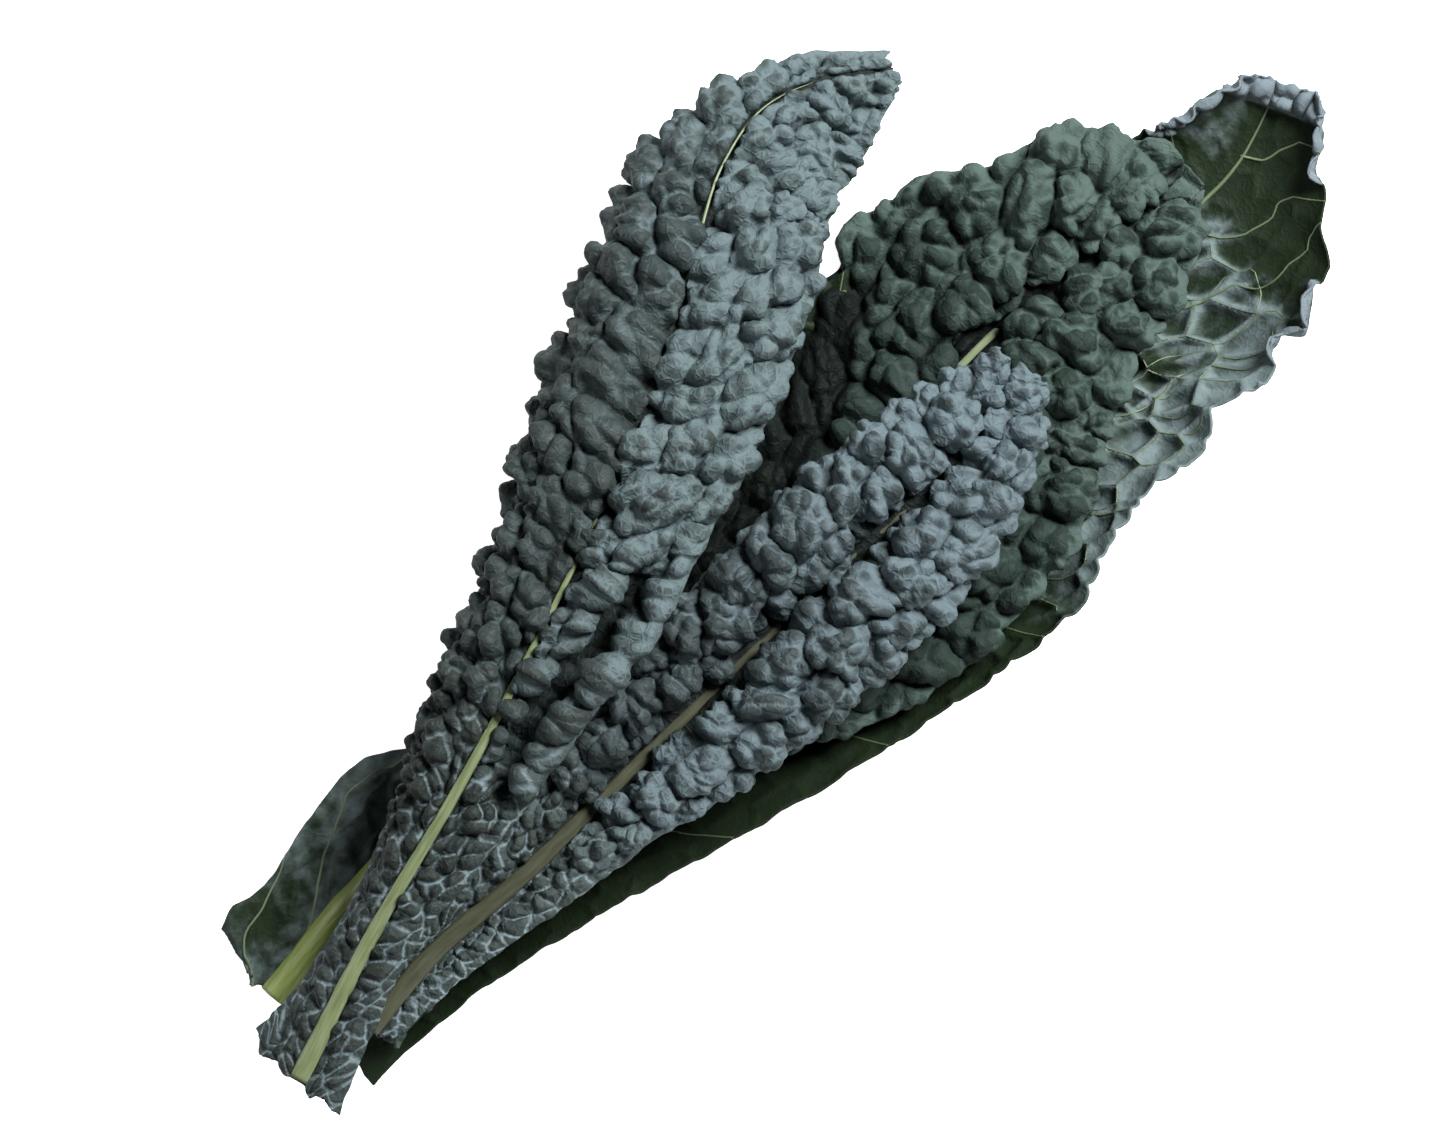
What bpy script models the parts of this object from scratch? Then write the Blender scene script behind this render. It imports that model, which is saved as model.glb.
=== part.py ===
# A bunch of four long kale leaves, laid down as picked, in metres with +Z up.
# The cut stem ends lie towards -Y and the leaf tips towards +Y. Each leaf is a thin blistered
# blade, open along its middle for a pale rib that runs from the cut end almost to the tip.
# The lowest leaf lies on its blistered face, so its ribbed underside looks up at the others.
import math

import bmesh
import bpy
import numpy as np

MM = 0.001
BLADE_THICKNESS = 0.9
RIB_CLEARANCE = 0.4
TIP_STRIP = 0.9  # half width of the strip that joins the halves beyond the rib
ROW_PITCH = 6.3  # rows of blade points along a leaf
COLUMN_PITCH = 7.2  # columns of blade points across a half
RIB_SIDES = 8
RIB_CROWN = 0.3  # how far the rib stands out of the blistered face, as a share of its half width
RIB_KEEL = 1.25  # the same on the ribbed face
JITTER = 0.16  # how far a blade point wanders, as a share of the pitch
BENDS = 5  # slopes given for each half of a section
SECTION_STEPS = 24
SPINE_SAMPLES = 300

# The middle of the whole bunch's outline seen from above, in the leaves' own drawing frame.
BUNCH_MIDDLE = (-18.50, 0.78)

# Each leaf, in millimetres and degrees:
# spine: points of the midrib from the cut end to the tip.
# left, right: rows of a place along the leaf from 0 to 1, the half's width measured along the
#   blade, and its slope at the rib, the quarters and the margin, rising outwards if positive.
# rib: rows of a place along the leaf and the rib's half width. rib_end is where it stops.
# blister: height of the blisters. ruffle: waviness of the margin.
LONG_LEAF = {
    "name": "long_leaf",
    "face": 1,
    "spine": [
        (-12, -187, 36), (-22, -143, 39), (-30, -95, 45), (-41, -45, 48), (-55, 7, 46),
        (-72, 49, 40), (-83, 75, 32), (-85, 94, 23), (-78.5, 111, 14), (-65.5, 127, 7),
    ],
    "left": [
        (0.00, 15, -10, -20, -25, -30, -35), (0.06, 12, -20, -30, -40, -45, -50),
        (0.13, 11, -25, -40, -50, -55, -60), (0.28, 25, 0, -25, -50, -70, -95),
        (0.44, 35, 5, -20, -45, -75, -110), (0.60, 48, 10, -15, -45, -80, -115),
        (0.73, 46.5, 5, -20, -50, -85, -115), (0.82, 35, 0, -25, -50, -75, -100),
        (0.88, 20, -5, -25, -45, -65, -85), (0.94, 11, -10, -20, -35, -50, -65),
        (1.00, 4, -5, -10, -15, -20, -25),
    ],
    "right": [
        (0.00, 12, 15, 10, 0, -10, -20), (0.13, 10.5, 25, 10, -10, -25, -35),
        (0.27, 19, 20, -30, -35, 30, -60), (0.38, 26, 25, -25, -30, 25, -70),
        (0.50, 31, 15, 5, -10, -25, -50), (0.62, 39.5, 15, 5, -15, -40, -75),
        (0.73, 43, 15, 0, -20, -45, -80), (0.82, 38.5, 10, 0, -15, -35, -65),
        (0.90, 33, 5, 0, -10, -20, -40), (0.96, 26.5, 0, -5, -10, -15, -25),
        (1.00, 6, 0, -5, -10, -10, -10),
    ],
    "rib": [(0.0, 3.0), (0.15, 2.5), (0.35, 1.8), (0.6, 1.1), (1.0, 0.7)],
    "rib_end": 0.86,
    "blister": 3.0,
    "ruffle": 1.2,
    "seed": 11,
    "material": "long_blade",
}
SHORT_LEAF = {
    "name": "short_leaf",
    "face": 1,
    "spine": [
        (-6, -166, 25), (-6, -140, 26), (-1, -108, 29), (2, -78, 31), (5, -47, 33),
        (8, -18, 35), (11, 10, 37), (16, 48, 38), (15, 72, 36), (14, 84, 32),
    ],
    "left": [
        (0.00, 5, 25, 20, 10, 0, -10), (0.12, 9, 30, 20, 5, -5, -20),
        (0.27, 13, 35, 20, 0, -20, -45), (0.40, 19, 35, 15, -5, -35, -70),
        (0.55, 27, 40, 15, -10, -45, -85), (0.70, 32, 45, 25, -10, -55, -95),
        (0.85, 29, 35, 15, -15, -55, -95), (0.94, 20, 20, 5, -20, -50, -80),
        (1.00, 10, 0, -10, -20, -35, -50),
    ],
    "right": [
        (0.00, 4, 25, 20, 10, 0, -10), (0.12, 7, 30, 20, 5, -5, -20),
        (0.27, 10, 35, 20, 5, -15, -40), (0.40, 18, 40, 20, 0, -30, -70),
        (0.55, 31, 45, 25, -5, -45, -85), (0.70, 36.5, 45, 25, -10, -50, -90),
        (0.85, 29, 35, 15, -15, -50, -90), (0.94, 19.5, 20, 5, -20, -45, -80),
        (1.00, 10, 0, -10, -20, -35, -50),
    ],
    "rib": [(0.0, 2.8), (0.2, 2.4), (0.45, 1.6), (0.7, 1.1), (1.0, 0.7)],
    "rib_end": 0.86,
    "blister": 3.0,
    "ruffle": 1.0,
    "seed": 23,
    "material": "short_blade",
}
BROAD_LEAF = {
    "name": "broad_leaf",
    "face": 1,
    "spine": [
        (-8, -168, 14), (-9, -130, 14), (-8, -90, 14), (-5, -40, 15), (-1, 0, 16),
        (1, 45, 17), (2, 84, 18), (7, 115, 19), (12, 140, 19), (15, 157, 17),
    ],
    "left": [
        (0.00, 9, 15, 12, 10, 0, -10), (0.13, 12, 15, 12, 5, 0, -10),
        (0.27, 20, 20, 10, 0, -5, -15), (0.41, 32, 25, 8, -10, -20, -25),
        (0.53, 41, 25, 5, -15, -25, -30), (0.66, 46, 30, 5, -15, -25, -30),
        (0.77, 51, 30, 5, -15, -20, -30), (0.87, 35, 25, 10, -10, -15, -30),
        (0.95, 28, 15, 5, -5, -15, -30), (1.00, 8, 5, 0, -5, -10, -20),
    ],
    "right": [
        (0.00, 8, 15, 12, 10, 0, -10), (0.13, 10, 15, 12, 5, 0, -10),
        (0.27, 16, 20, 12, 5, 0, -10), (0.41, 34, 20, 15, 5, 0, -15),
        (0.53, 52, 30, 10, -5, 5, -20), (0.66, 56, 30, 10, -5, 5, -25),
        (0.77, 47, 30, 10, -10, 0, -25), (0.87, 30, 25, 10, -5, -10, -25),
        (0.95, 20, 15, 5, -5, -15, -30), (1.00, 5, 5, 0, -5, -10, -20),
    ],
    "rib": [(0.0, 3.2), (0.2, 2.8), (0.45, 2.0), (0.7, 1.2), (1.0, 0.7)],
    "rib_end": 0.88,
    "blister": 3.2,
    "ruffle": 2.0,
    "seed": 37,
    "material": "broad_blade",
}
CRADLE_LEAF = {
    "name": "cradle_leaf",
    "face": -1,
    "spine": [
        (-31, -178.5, 4.5), (-32, -147, 3.8), (-28, -100, 2.4), (-18, -50, 1), (-8, 0, 0),
        (2, 50, 1.2), (13, 100, 2.6), (22, 145, 4.5), (23.5, 168, 7), (18, 189, 14),
    ],
    "left": [
        (0.00, 7, 8, 10, 12, 5, -5), (0.02, 17, 8, 12, 12, 8, 0), (0.05, 17, 8, 12, 12, 8, 0),
        (0.13, 20, 6, 10, 10, 8, 0), (0.17, 20, 5, 8, 10, 8, 0), (0.21, 18, 5, 8, 10, 10, 5),
        (0.32, 27, 2, 4, 6, 10, 15), (0.48, 40, 0, 2, 4, 8, 15),
        (0.62, 44, 0, 2, 4, 8, 15), (0.77, 42, 0, 2, 6, 10, 15), (0.88, 27, 2, 5, 10, 20, 35),
        (0.94, 22, 5, 10, 20, 40, 70), (0.97, 19, 5, 10, 25, 45, 75), (1.00, 12, 5, 10, 25, 50, 80),
    ],
    "right": [
        (0.00, 34, 0, 3, 8, 18, 28), (0.10, 40, 0, 3, 10, 22, 35), (0.27, 53, 0, 3, 12, 28, 50),
        (0.48, 67, 0, 3, 12, 30, 60), (0.62, 70, 0, 3, 14, 32, 65), (0.77, 59, 0, 5, 18, 35, 65),
        (0.88, 49, 5, 10, 20, 35, 60), (0.95, 30, 5, 15, 25, 35, 55), (1.00, 21, 5, 10, 20, 40, 60),
    ],
    "rib": [(0.0, 5.2), (0.15, 4.6), (0.35, 3.4), (0.6, 2.4), (0.85, 1.4), (1.0, 0.8)],
    "rib_end": 0.93,
    "blister": 2.4,
    "ruffle": 1.8,
    "seed": 51,
    "material": "cradle_blade",
}
LEAVES = [LONG_LEAF, SHORT_LEAF, BROAD_LEAF, CRADLE_LEAF]

# Colour, roughness and metallic value of each material.
FINISHES = {
    "long_blade": ((0.115, 0.155, 0.160, 1.0), 0.55, 0.0),
    "short_blade": ((0.110, 0.148, 0.158, 1.0), 0.55, 0.0),
    "broad_blade": ((0.055, 0.085, 0.075, 1.0), 0.55, 0.0),
    "cradle_blade": ((0.040, 0.065, 0.040, 1.0), 0.50, 0.0),
    "rib": ((0.330, 0.400, 0.190, 1.0), 0.45, 0.0),
}


def clear_scene():
    for thing in list(bpy.data.objects):
        bpy.data.objects.remove(thing, do_unlink=True)


def make_material(name):
    colour, roughness, metallic = FINISHES[name]
    material = bpy.data.materials.new(name)
    material.use_nodes = True
    shader = material.node_tree.nodes["Principled BSDF"]
    shader.inputs["Base Color"].default_value = colour
    shader.inputs["Roughness"].default_value = roughness
    shader.inputs["Metallic"].default_value = metallic
    return material


def read_rows(rows, at):
    """A smooth curve through rows of a place and its values, read at each place in at."""
    rows = np.array(rows, float)
    place, values = rows[:, 0], rows[:, 1:]
    slope = np.gradient(values, place, axis=0)
    left = np.clip(np.searchsorted(place, at, side="right") - 1, 0, len(place) - 2)
    span = (place[left + 1] - place[left])[:, None]
    t = (at - place[left])[:, None] / span
    ease = t * t * (3 - 2 * t)
    bend = span * (slope[left] * t * (1 - t) ** 2 - slope[left + 1] * t * t * (1 - t))
    return values[left] * (1 - ease) + values[left + 1] * ease + bend


def spine_of(leaf):
    """Places from 0 to 1, points and directions along a leaf's midrib, and its length."""
    points = np.array(leaf["spine"], float) - (*BUNCH_MIDDLE, 0.0)
    chords = np.linalg.norm(np.diff(points, axis=0), axis=1)
    reach = np.concatenate([[0.0], np.cumsum(chords)])
    fine = np.linspace(0.0, reach[-1], SPINE_SAMPLES)
    curve = read_rows(np.column_stack([reach, points]), fine)
    steps = np.linalg.norm(np.diff(curve, axis=0), axis=1)
    along = np.concatenate([[0.0], np.cumsum(steps)])
    ahead = np.gradient(curve, along, axis=0)
    ahead /= np.linalg.norm(ahead, axis=1)[:, None]
    return along / along[-1], curve, ahead, along[-1]


def frame_at(leaf, place):
    """Points on the midrib at each place, with the directions ahead, to the right and up."""
    share, curve, ahead, _ = spine_of(leaf)
    point = np.column_stack([np.interp(place, share, c) for c in curve.T])
    forward = np.column_stack([np.interp(place, share, c) for c in ahead.T])
    forward /= np.linalg.norm(forward, axis=1)[:, None]
    flat = np.cross(forward, (0.0, 0.0, 1.0))
    flat /= np.linalg.norm(flat, axis=1)[:, None]
    above = np.cross(flat, forward)
    return point, forward, flat, above


def rib_half_width(leaf, place):
    return read_rows(leaf["rib"], place)[:, 0]


def slot_half_width(leaf, place):
    """Half of the opening between the two halves of the blade, which closes beyond the rib."""
    return np.where(place <= leaf["rib_end"], rib_half_width(leaf, place) + RIB_CLEARANCE, TIP_STRIP)


def blade_points(leaf, side, across, place, lift):
    """Points of the blade: side is -1 left or 1 right, across runs from rib to margin."""
    rows = np.where((side < 0)[:, None], read_rows(leaf["left"], place), read_rows(leaf["right"], place))
    width, slopes = rows[:, 0], np.radians(rows[:, 1:])
    step = (np.arange(SECTION_STEPS) + 0.5) / SECTION_STEPS
    knots = across[:, None] * step * (BENDS - 1)
    low = np.minimum(knots.astype(int), BENDS - 2)
    row = np.arange(len(across))[:, None]
    slope = slopes[row, low] + (slopes[row, low + 1] - slopes[row, low]) * (knots - low)
    out = across * width * np.cos(slope).mean(axis=1)
    rise = across * width * np.sin(slope).mean(axis=1)
    end = np.minimum((across * (BENDS - 1)).astype(int), BENDS - 2)
    row = row[:, 0]
    tilt = slopes[row, end] + (slopes[row, end + 1] - slopes[row, end]) * (across * (BENDS - 1) - end)
    point, _, right, up = frame_at(leaf, place)
    outward = right * side[:, None]
    place_out = slot_half_width(leaf, place) + out
    normal = up * np.cos(tilt)[:, None] - outward * np.sin(tilt)[:, None]
    return point + outward * place_out[:, None] + up * rise[:, None] + normal * lift[:, None]


def half_columns(leaf):
    widest = max(row[1] for row in leaf["left"] + leaf["right"])
    return max(4, round(widest / COLUMN_PITCH))


def blade_grid(leaf):
    """A flat grid of blade points with their column and row, the halves side by side."""
    columns = half_columns(leaf)
    rows = round(spine_of(leaf)[3] / ROW_PITCH)
    bm = bmesh.new()
    bmesh.ops.create_grid(bm, x_segments=2 * columns + 1, y_segments=rows, size=1.0)
    bm.verts.ensure_lookup_table()
    flat = np.array([v.co for v in bm.verts])
    column = np.rint((flat[:, 0] + 1) / 2 * (2 * columns + 1)).astype(int)
    row = np.rint((flat[:, 1] + 1) / 2 * rows).astype(int)
    return bm, column, row, columns, rows


def build_blade(leaf, material):
    bm, column, row, columns, rows = blade_grid(leaf)
    random = np.random.default_rng(leaf["seed"])
    side = np.where(column <= columns, -1, 1)
    step = np.where(side < 0, columns - column, column - columns - 1)
    inner = (step > 0) & (step < columns)
    inside = inner & (row > 0) & (row < rows)

    # Every other row is set half a column out, so that the points stand in triangles.
    shift = np.where(inner, 0.5 * (row % 2) - 0.25, 0.0) + inside * random.uniform(-JITTER, JITTER, len(row))
    across = np.clip((step + shift) / columns, 0.0, 1.0)
    place = (row + inside * random.uniform(-JITTER, JITTER, len(row))) / rows

    # One point in three is the top of a blister, ringed by six low ones.
    crown = inside & ((step - row // 2 - row) % 3 == 0)
    fade = np.clip(np.minimum(place / 0.15, 1.0), 0.45, 1.0)
    lift = crown * leaf["blister"] * fade * random.uniform(0.75, 1.25, len(row))
    wave = np.sin(row * 2.1 + leaf["seed"]) + np.sin(row * 0.9 + 1.7 * side)
    lift += (step == columns) * leaf["ruffle"] * 0.5 * wave
    across = np.where(step == columns, 1.0 - 0.035 * (1 + np.sin(row * 2.9 + side)), across)

    points = blade_points(leaf, side, across, place, lift * leaf["face"])
    points[:, 2] = np.maximum(points[:, 2], 0.0)
    for vertex, point in zip(bm.verts, points * MM):
        vertex.co = point
    open_slot(bm, column, row, columns, rows, leaf)
    bmesh.ops.triangulate(bm, faces=bm.faces[:], quad_method="SHORT_EDGE")
    if leaf["face"] < 0:
        bmesh.ops.reverse_faces(bm, faces=bm.faces[:])
    bmesh.ops.solidify(bm, geom=bm.faces[:], thickness=BLADE_THICKNESS * MM)
    return finish_object(bm, leaf["name"] + "_blade", material)


def open_slot(bm, column, row, columns, rows, leaf):
    """Takes out the strip between the halves, from the cut end to where the rib stops."""
    strip = []
    for face in bm.faces:
        corners = [v.index for v in face.verts]
        between = min(column[corners]) == columns and max(column[corners]) == columns + 1
        if between and max(row[corners]) / rows <= leaf["rib_end"]:
            strip.append(face)
    bmesh.ops.delete(bm, geom=strip, context="FACES")


def rib_ring(leaf, place):
    """The points round the rib at one place: a low crown on the blistered face, a keel behind."""
    point, _, right, up = frame_at(leaf, np.array([place]))
    half = rib_half_width(leaf, np.array([place]))[0]
    angle = (np.arange(RIB_SIDES) + 0.5) * 2 * math.pi / RIB_SIDES
    height = np.where(np.sin(angle) > 0, RIB_CROWN, RIB_KEEL) * np.sin(angle) * half * leaf["face"]
    breadth = np.cos(angle) * half / math.cos(math.pi / RIB_SIDES)
    ring = point + np.outer(breadth, right[0]) + np.outer(height, up[0])
    ring[:, 2] = np.maximum(ring[:, 2], 0.0)
    return ring * MM


def build_rib(leaf, material):
    """The rib: a capped ring at the cut end, extruded ring by ring to a narrow end."""
    rows = round(spine_of(leaf)[3] / ROW_PITCH)
    last = math.floor(leaf["rib_end"] * rows) - 0.3
    places = np.append(np.arange(0, last - 0.5), last) / rows
    bm = bmesh.new()
    bmesh.ops.create_circle(bm, cap_ends=True, segments=RIB_SIDES, radius=1.0)
    cap = bm.faces[:][0]
    for vertex, point in zip(cap.verts, rib_ring(leaf, places[0])):
        vertex.co = point
    for place in places[1:]:
        made = bmesh.ops.extrude_face_region(bm, geom=[cap])["geom"]
        if place > places[1]:
            bmesh.ops.delete(bm, geom=[cap], context="FACES_ONLY")
        cap = [part for part in made if isinstance(part, bmesh.types.BMFace)][0]
        for vertex, point in zip(cap.verts, rib_ring(leaf, place)):
            vertex.co = point
    bmesh.ops.triangulate(bm, faces=bm.faces[:])
    bmesh.ops.recalc_face_normals(bm, faces=bm.faces[:])
    return finish_object(bm, leaf["name"] + "_rib", material)


def finish_object(bm, name, material):
    mesh = bpy.data.meshes.new(name)
    bm.to_mesh(mesh)
    bm.free()
    mesh.materials.append(material)
    thing = bpy.data.objects.new(name, mesh)
    bpy.context.scene.collection.objects.link(thing)
    return thing


def main():
    clear_scene()
    materials = {name: make_material(name) for name in FINISHES}
    for leaf in LEAVES:
        build_blade(leaf, materials[leaf["material"]])
        build_rib(leaf, materials["rib"])


main()
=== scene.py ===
import math

import bmesh
import bpy
import numpy as np
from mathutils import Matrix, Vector
from mathutils.geometry import delaunay_2d_cdt


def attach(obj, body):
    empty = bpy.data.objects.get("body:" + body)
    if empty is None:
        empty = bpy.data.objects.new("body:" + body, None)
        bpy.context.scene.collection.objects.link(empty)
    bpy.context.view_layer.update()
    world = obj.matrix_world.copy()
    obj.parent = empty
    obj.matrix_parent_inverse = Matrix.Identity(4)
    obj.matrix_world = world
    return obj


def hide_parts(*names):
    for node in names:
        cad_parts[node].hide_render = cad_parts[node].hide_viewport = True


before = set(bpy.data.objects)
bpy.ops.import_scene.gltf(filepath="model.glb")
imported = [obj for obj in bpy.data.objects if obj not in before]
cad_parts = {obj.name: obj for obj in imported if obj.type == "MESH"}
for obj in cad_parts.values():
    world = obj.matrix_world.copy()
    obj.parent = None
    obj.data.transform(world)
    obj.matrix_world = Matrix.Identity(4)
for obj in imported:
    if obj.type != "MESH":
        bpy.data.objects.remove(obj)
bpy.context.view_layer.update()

# A bunch of four long kale leaves lying on a pale table, seen from above. Metres, +Z up, the
# leaf tips towards +Y. Each leaf is drawn in millimetres on its own lattice: place runs from 0
# at the cut end to 1 at the tip, and across from 0 at the rib to 1 at the margin.
mm = 0.001
bunchMiddle = (-18.50, 0.78)
bends = 5
sectionSteps = 32
bladeThickness = 0.7
ribClearance = 0.4
ribTuck = 0.7


def readRows(rows, at):
    # a smooth curve through rows of a place and its values
    rows = np.array(rows, float)
    place, values = rows[:, 0], rows[:, 1:]
    slope = np.gradient(values, place, axis=0)
    left = np.clip(np.searchsorted(place, at, side="right") - 1, 0, len(place) - 2)
    span = (place[left + 1] - place[left])[:, None]
    t = (at - place[left])[:, None] / span
    ease = t * t * (3 - 2 * t)
    bend = span * (slope[left] * t * (1 - t) ** 2 - slope[left + 1] * t * t * (1 - t))
    return values[left] * (1 - ease) + values[left + 1] * ease + bend


def readSteps(rows, at):
    rows = np.array(rows, float)
    return np.interp(at, rows[:, 0], rows[:, 1])


def smoothStep(value, low, high):
    t = np.clip((value - low) / (high - low), 0.0, 1.0)
    return t * t * (3 - 2 * t)


def spineOf(leaf, samples=400):
    points = np.array(leaf["spine"], float) - (*bunchMiddle, 0.0)
    chords = np.linalg.norm(np.diff(points, axis=0), axis=1)
    reach = np.concatenate([[0.0], np.cumsum(chords)])
    curve = readRows(np.column_stack([reach, points]), np.linspace(0.0, reach[-1], samples))
    steps = np.linalg.norm(np.diff(curve, axis=0), axis=1)
    along = np.concatenate([[0.0], np.cumsum(steps)])
    ahead = np.gradient(curve, along, axis=0)
    ahead /= np.linalg.norm(ahead, axis=1)[:, None]
    return along / along[-1], curve, ahead, along[-1]


def frameAt(leaf, place):
    share, curve, ahead, _ = spineOf(leaf)
    point = np.column_stack([np.interp(place, share, c) for c in curve.T])
    forward = np.column_stack([np.interp(place, share, c) for c in ahead.T])
    forward /= np.linalg.norm(forward, axis=1)[:, None]
    flat = np.cross(forward, (0.0, 0.0, 1.0))
    flat /= np.linalg.norm(flat, axis=1)[:, None]
    return point, forward, flat, np.cross(flat, forward)


def ribHalf(leaf, place):
    return readRows(leaf["rib"], place)[:, 0]


def halfWidth(leaf, side, place):
    rows = np.where((side < 0)[:, None], readRows(leaf["left"], place), readRows(leaf["right"], place))
    return rows[:, 0], np.radians(rows[:, 1:])


def leafSurface(leaf, side, across, place, extra):
    # points of the smooth blade; extra is how much further out its margin stands there
    width, slopes = halfWidth(leaf, side, place)
    step = (np.arange(sectionSteps) + 0.5) / sectionSteps
    knots = across[:, None] * step * (bends - 1)
    low = np.clip(knots.astype(int), 0, bends - 2)
    row = np.arange(len(across))[:, None]
    slope = slopes[row, low] + (slopes[row, low + 1] - slopes[row, low]) * (knots - low)
    slot = ribHalf(leaf, place) + ribClearance
    under = ribTuck * ribHalf(leaf, place) * smoothStep(place, leaf["ribEnd"] + 0.01, leaf["ribEnd"] - 0.03)
    width = width + extra + slot - under
    out = under + across * width * np.cos(slope).mean(axis=1)
    rise = across * width * np.sin(slope).mean(axis=1)
    point, forward, right, up = frameAt(leaf, place)
    outward = right * side[:, None]
    return point + outward * out[:, None] + up * rise[:, None], forward, outward, width


def drift(u, v, seed):
    # soft wandering values between -1 and 1
    table = np.random.default_rng(seed).random((61, 67)) * 2 - 1
    i, j = np.floor(u).astype(int), np.floor(v).astype(int)
    a, b = u - i, v - j
    a, b = a * a * (3 - 2 * a), b * b * (3 - 2 * b)
    low = table[i % 61, j % 67] * (1 - a) + table[(i + 1) % 61, j % 67] * a
    high = table[i % 61, (j + 1) % 67] * (1 - a) + table[(i + 1) % 61, (j + 1) % 67] * a
    return low * (1 - b) + high * b


def dome(border, crown, roundness):
    t = np.clip(border / crown, 0.0, 1.0)
    return (1 - (1 - t) ** 2) ** roundness


def cellField(u, v, seed, look):
    # rounded cells with unequal creases: how high each point stands, from 0 in a crease to 1,
    # how far it is from the nearest crease, and a number of the cell's own
    table = np.random.default_rng(seed).random((97, 89, 3))
    column, row = np.floor(u).astype(int), np.floor(v).astype(int)
    jitterU, jitterV = look["jitter"]

    def middle(stepU, stepV):
        i, j = column + stepU, row + stepV
        draw = table[i % 97, j % 89]
        across = j + 0.5 * (i % 2) + 0.5 + jitterV * (draw[..., 1] - 0.5)
        return i + 0.5 + jitterU * (draw[..., 0] - 0.5), across, draw[..., 2]

    steps = [(a, b) for a in range(-2, 3) for b in range(-3, 3)]
    nearest = np.full(u.shape, 1e9)
    homeU, homeV, number = np.zeros(u.shape), np.zeros(u.shape), np.zeros(u.shape)
    for a, b in steps:
        seedU, seedV, draw = middle(a, b)
        far = (seedU - u) ** 2 + (seedV - v) ** 2
        closer = far < nearest
        nearest = np.where(closer, far, nearest)
        homeU, homeV = np.where(closer, seedU, homeU), np.where(closer, seedV, homeV)
        number = np.where(closer, draw, number)
    crease, edge = np.zeros(u.shape), np.ones(u.shape)
    for a, b in steps:
        seedU, seedV, draw = middle(a, b)
        apart = np.hypot(seedU - homeU, seedV - homeV)
        far = (seedU - u) ** 2 + (seedV - v) ** 2
        border = (far - nearest) / (2 * np.maximum(apart, 0.05))
        depth = 1 - look["uneven"] * ((number + draw) * 7.31 % 1.0)
        slope = depth * (1 - dome(border, look["crown"], look["round"]))
        crease = np.where(apart > 0.05, np.maximum(crease, slope), crease)
        edge = np.where(apart > 0.05, np.minimum(edge, border), edge)
    return 1 - crease, edge, number


def normalsOf(points):
    normals = np.cross(np.gradient(points, axis=1), np.gradient(points, axis=0))
    return normals / np.maximum(np.linalg.norm(normals, axis=2), 1e-9)[..., None]


def blur(values, rounds):
    for _ in range(rounds):
        padded = np.pad(values, ((1, 1), (1, 1)) + ((0, 0),) * (values.ndim - 2), mode="edge")
        near = padded[:-2, 1:-1] + padded[2:, 1:-1] + padded[1:-1, :-2] + padded[1:-1, 2:]
        values = near / 8 + values / 2
    return values


def softNormals(points, rounds):
    normals = blur(normalsOf(points), rounds)
    return normals / np.linalg.norm(normals, axis=2)[..., None]


# The puckers of a blade, from large to small: groups between the side veins, mounds on them, and
# knobs on the mounds. Sizes along and across, and heights, are in millimetres.
puckers = {
    "group": {
        "along": 14.5, "across": 17.0, "height": 7.8, "jitter": (0.6, 0.8), "crown": 0.40, "round": 0.78,
        "uneven": 0.35, "level": 0.5, "soften": 3,
    },
    "mound": {
        "along": 7.4, "across": 6.8, "height": 4.2, "jitter": (0.85, 0.85), "crown": 0.50, "round": 1.0,
        "uneven": 0.55, "level": 0.45, "soften": 1,
    },
    "knob": {
        "along": 3.1, "across": 2.9, "height": 2.1, "jitter": (0.95, 0.95), "crown": 0.52, "round": 1.1,
        "uneven": 0.6, "level": 0.35, "soften": 1,
    },
}
warps = {"wide": 11.0, "wideShift": 2.4, "near": 4.0, "nearShift": 0.8}
# the margin band: its reach, the rise it keeps so no crease shade is painted along it, its added bloom, a
# painted light along the edges, and how much relief it keeps
margins = {"reach": 7.0, "rise": 0.5, "bloom": 0.6, "kept": 0.15}
leanReach = 3.5
foldStretch = 0.42


def stretchFolds(leaf, grid, v):
    # long pillows across the blade: cells drawn out across
    for fold in leaf.get("folds", []):
        near = smoothStep(np.abs(grid["place"] - fold["place"]), fold["reach"], fold["reach"] * 0.5)
        inner = smoothStep(grid["across"], fold["across"], fold["across"] * 0.7)
        near = near * (grid["side"] == fold["side"]) * inner
        v = v * (1 - foldStretch * near)
    return v


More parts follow.
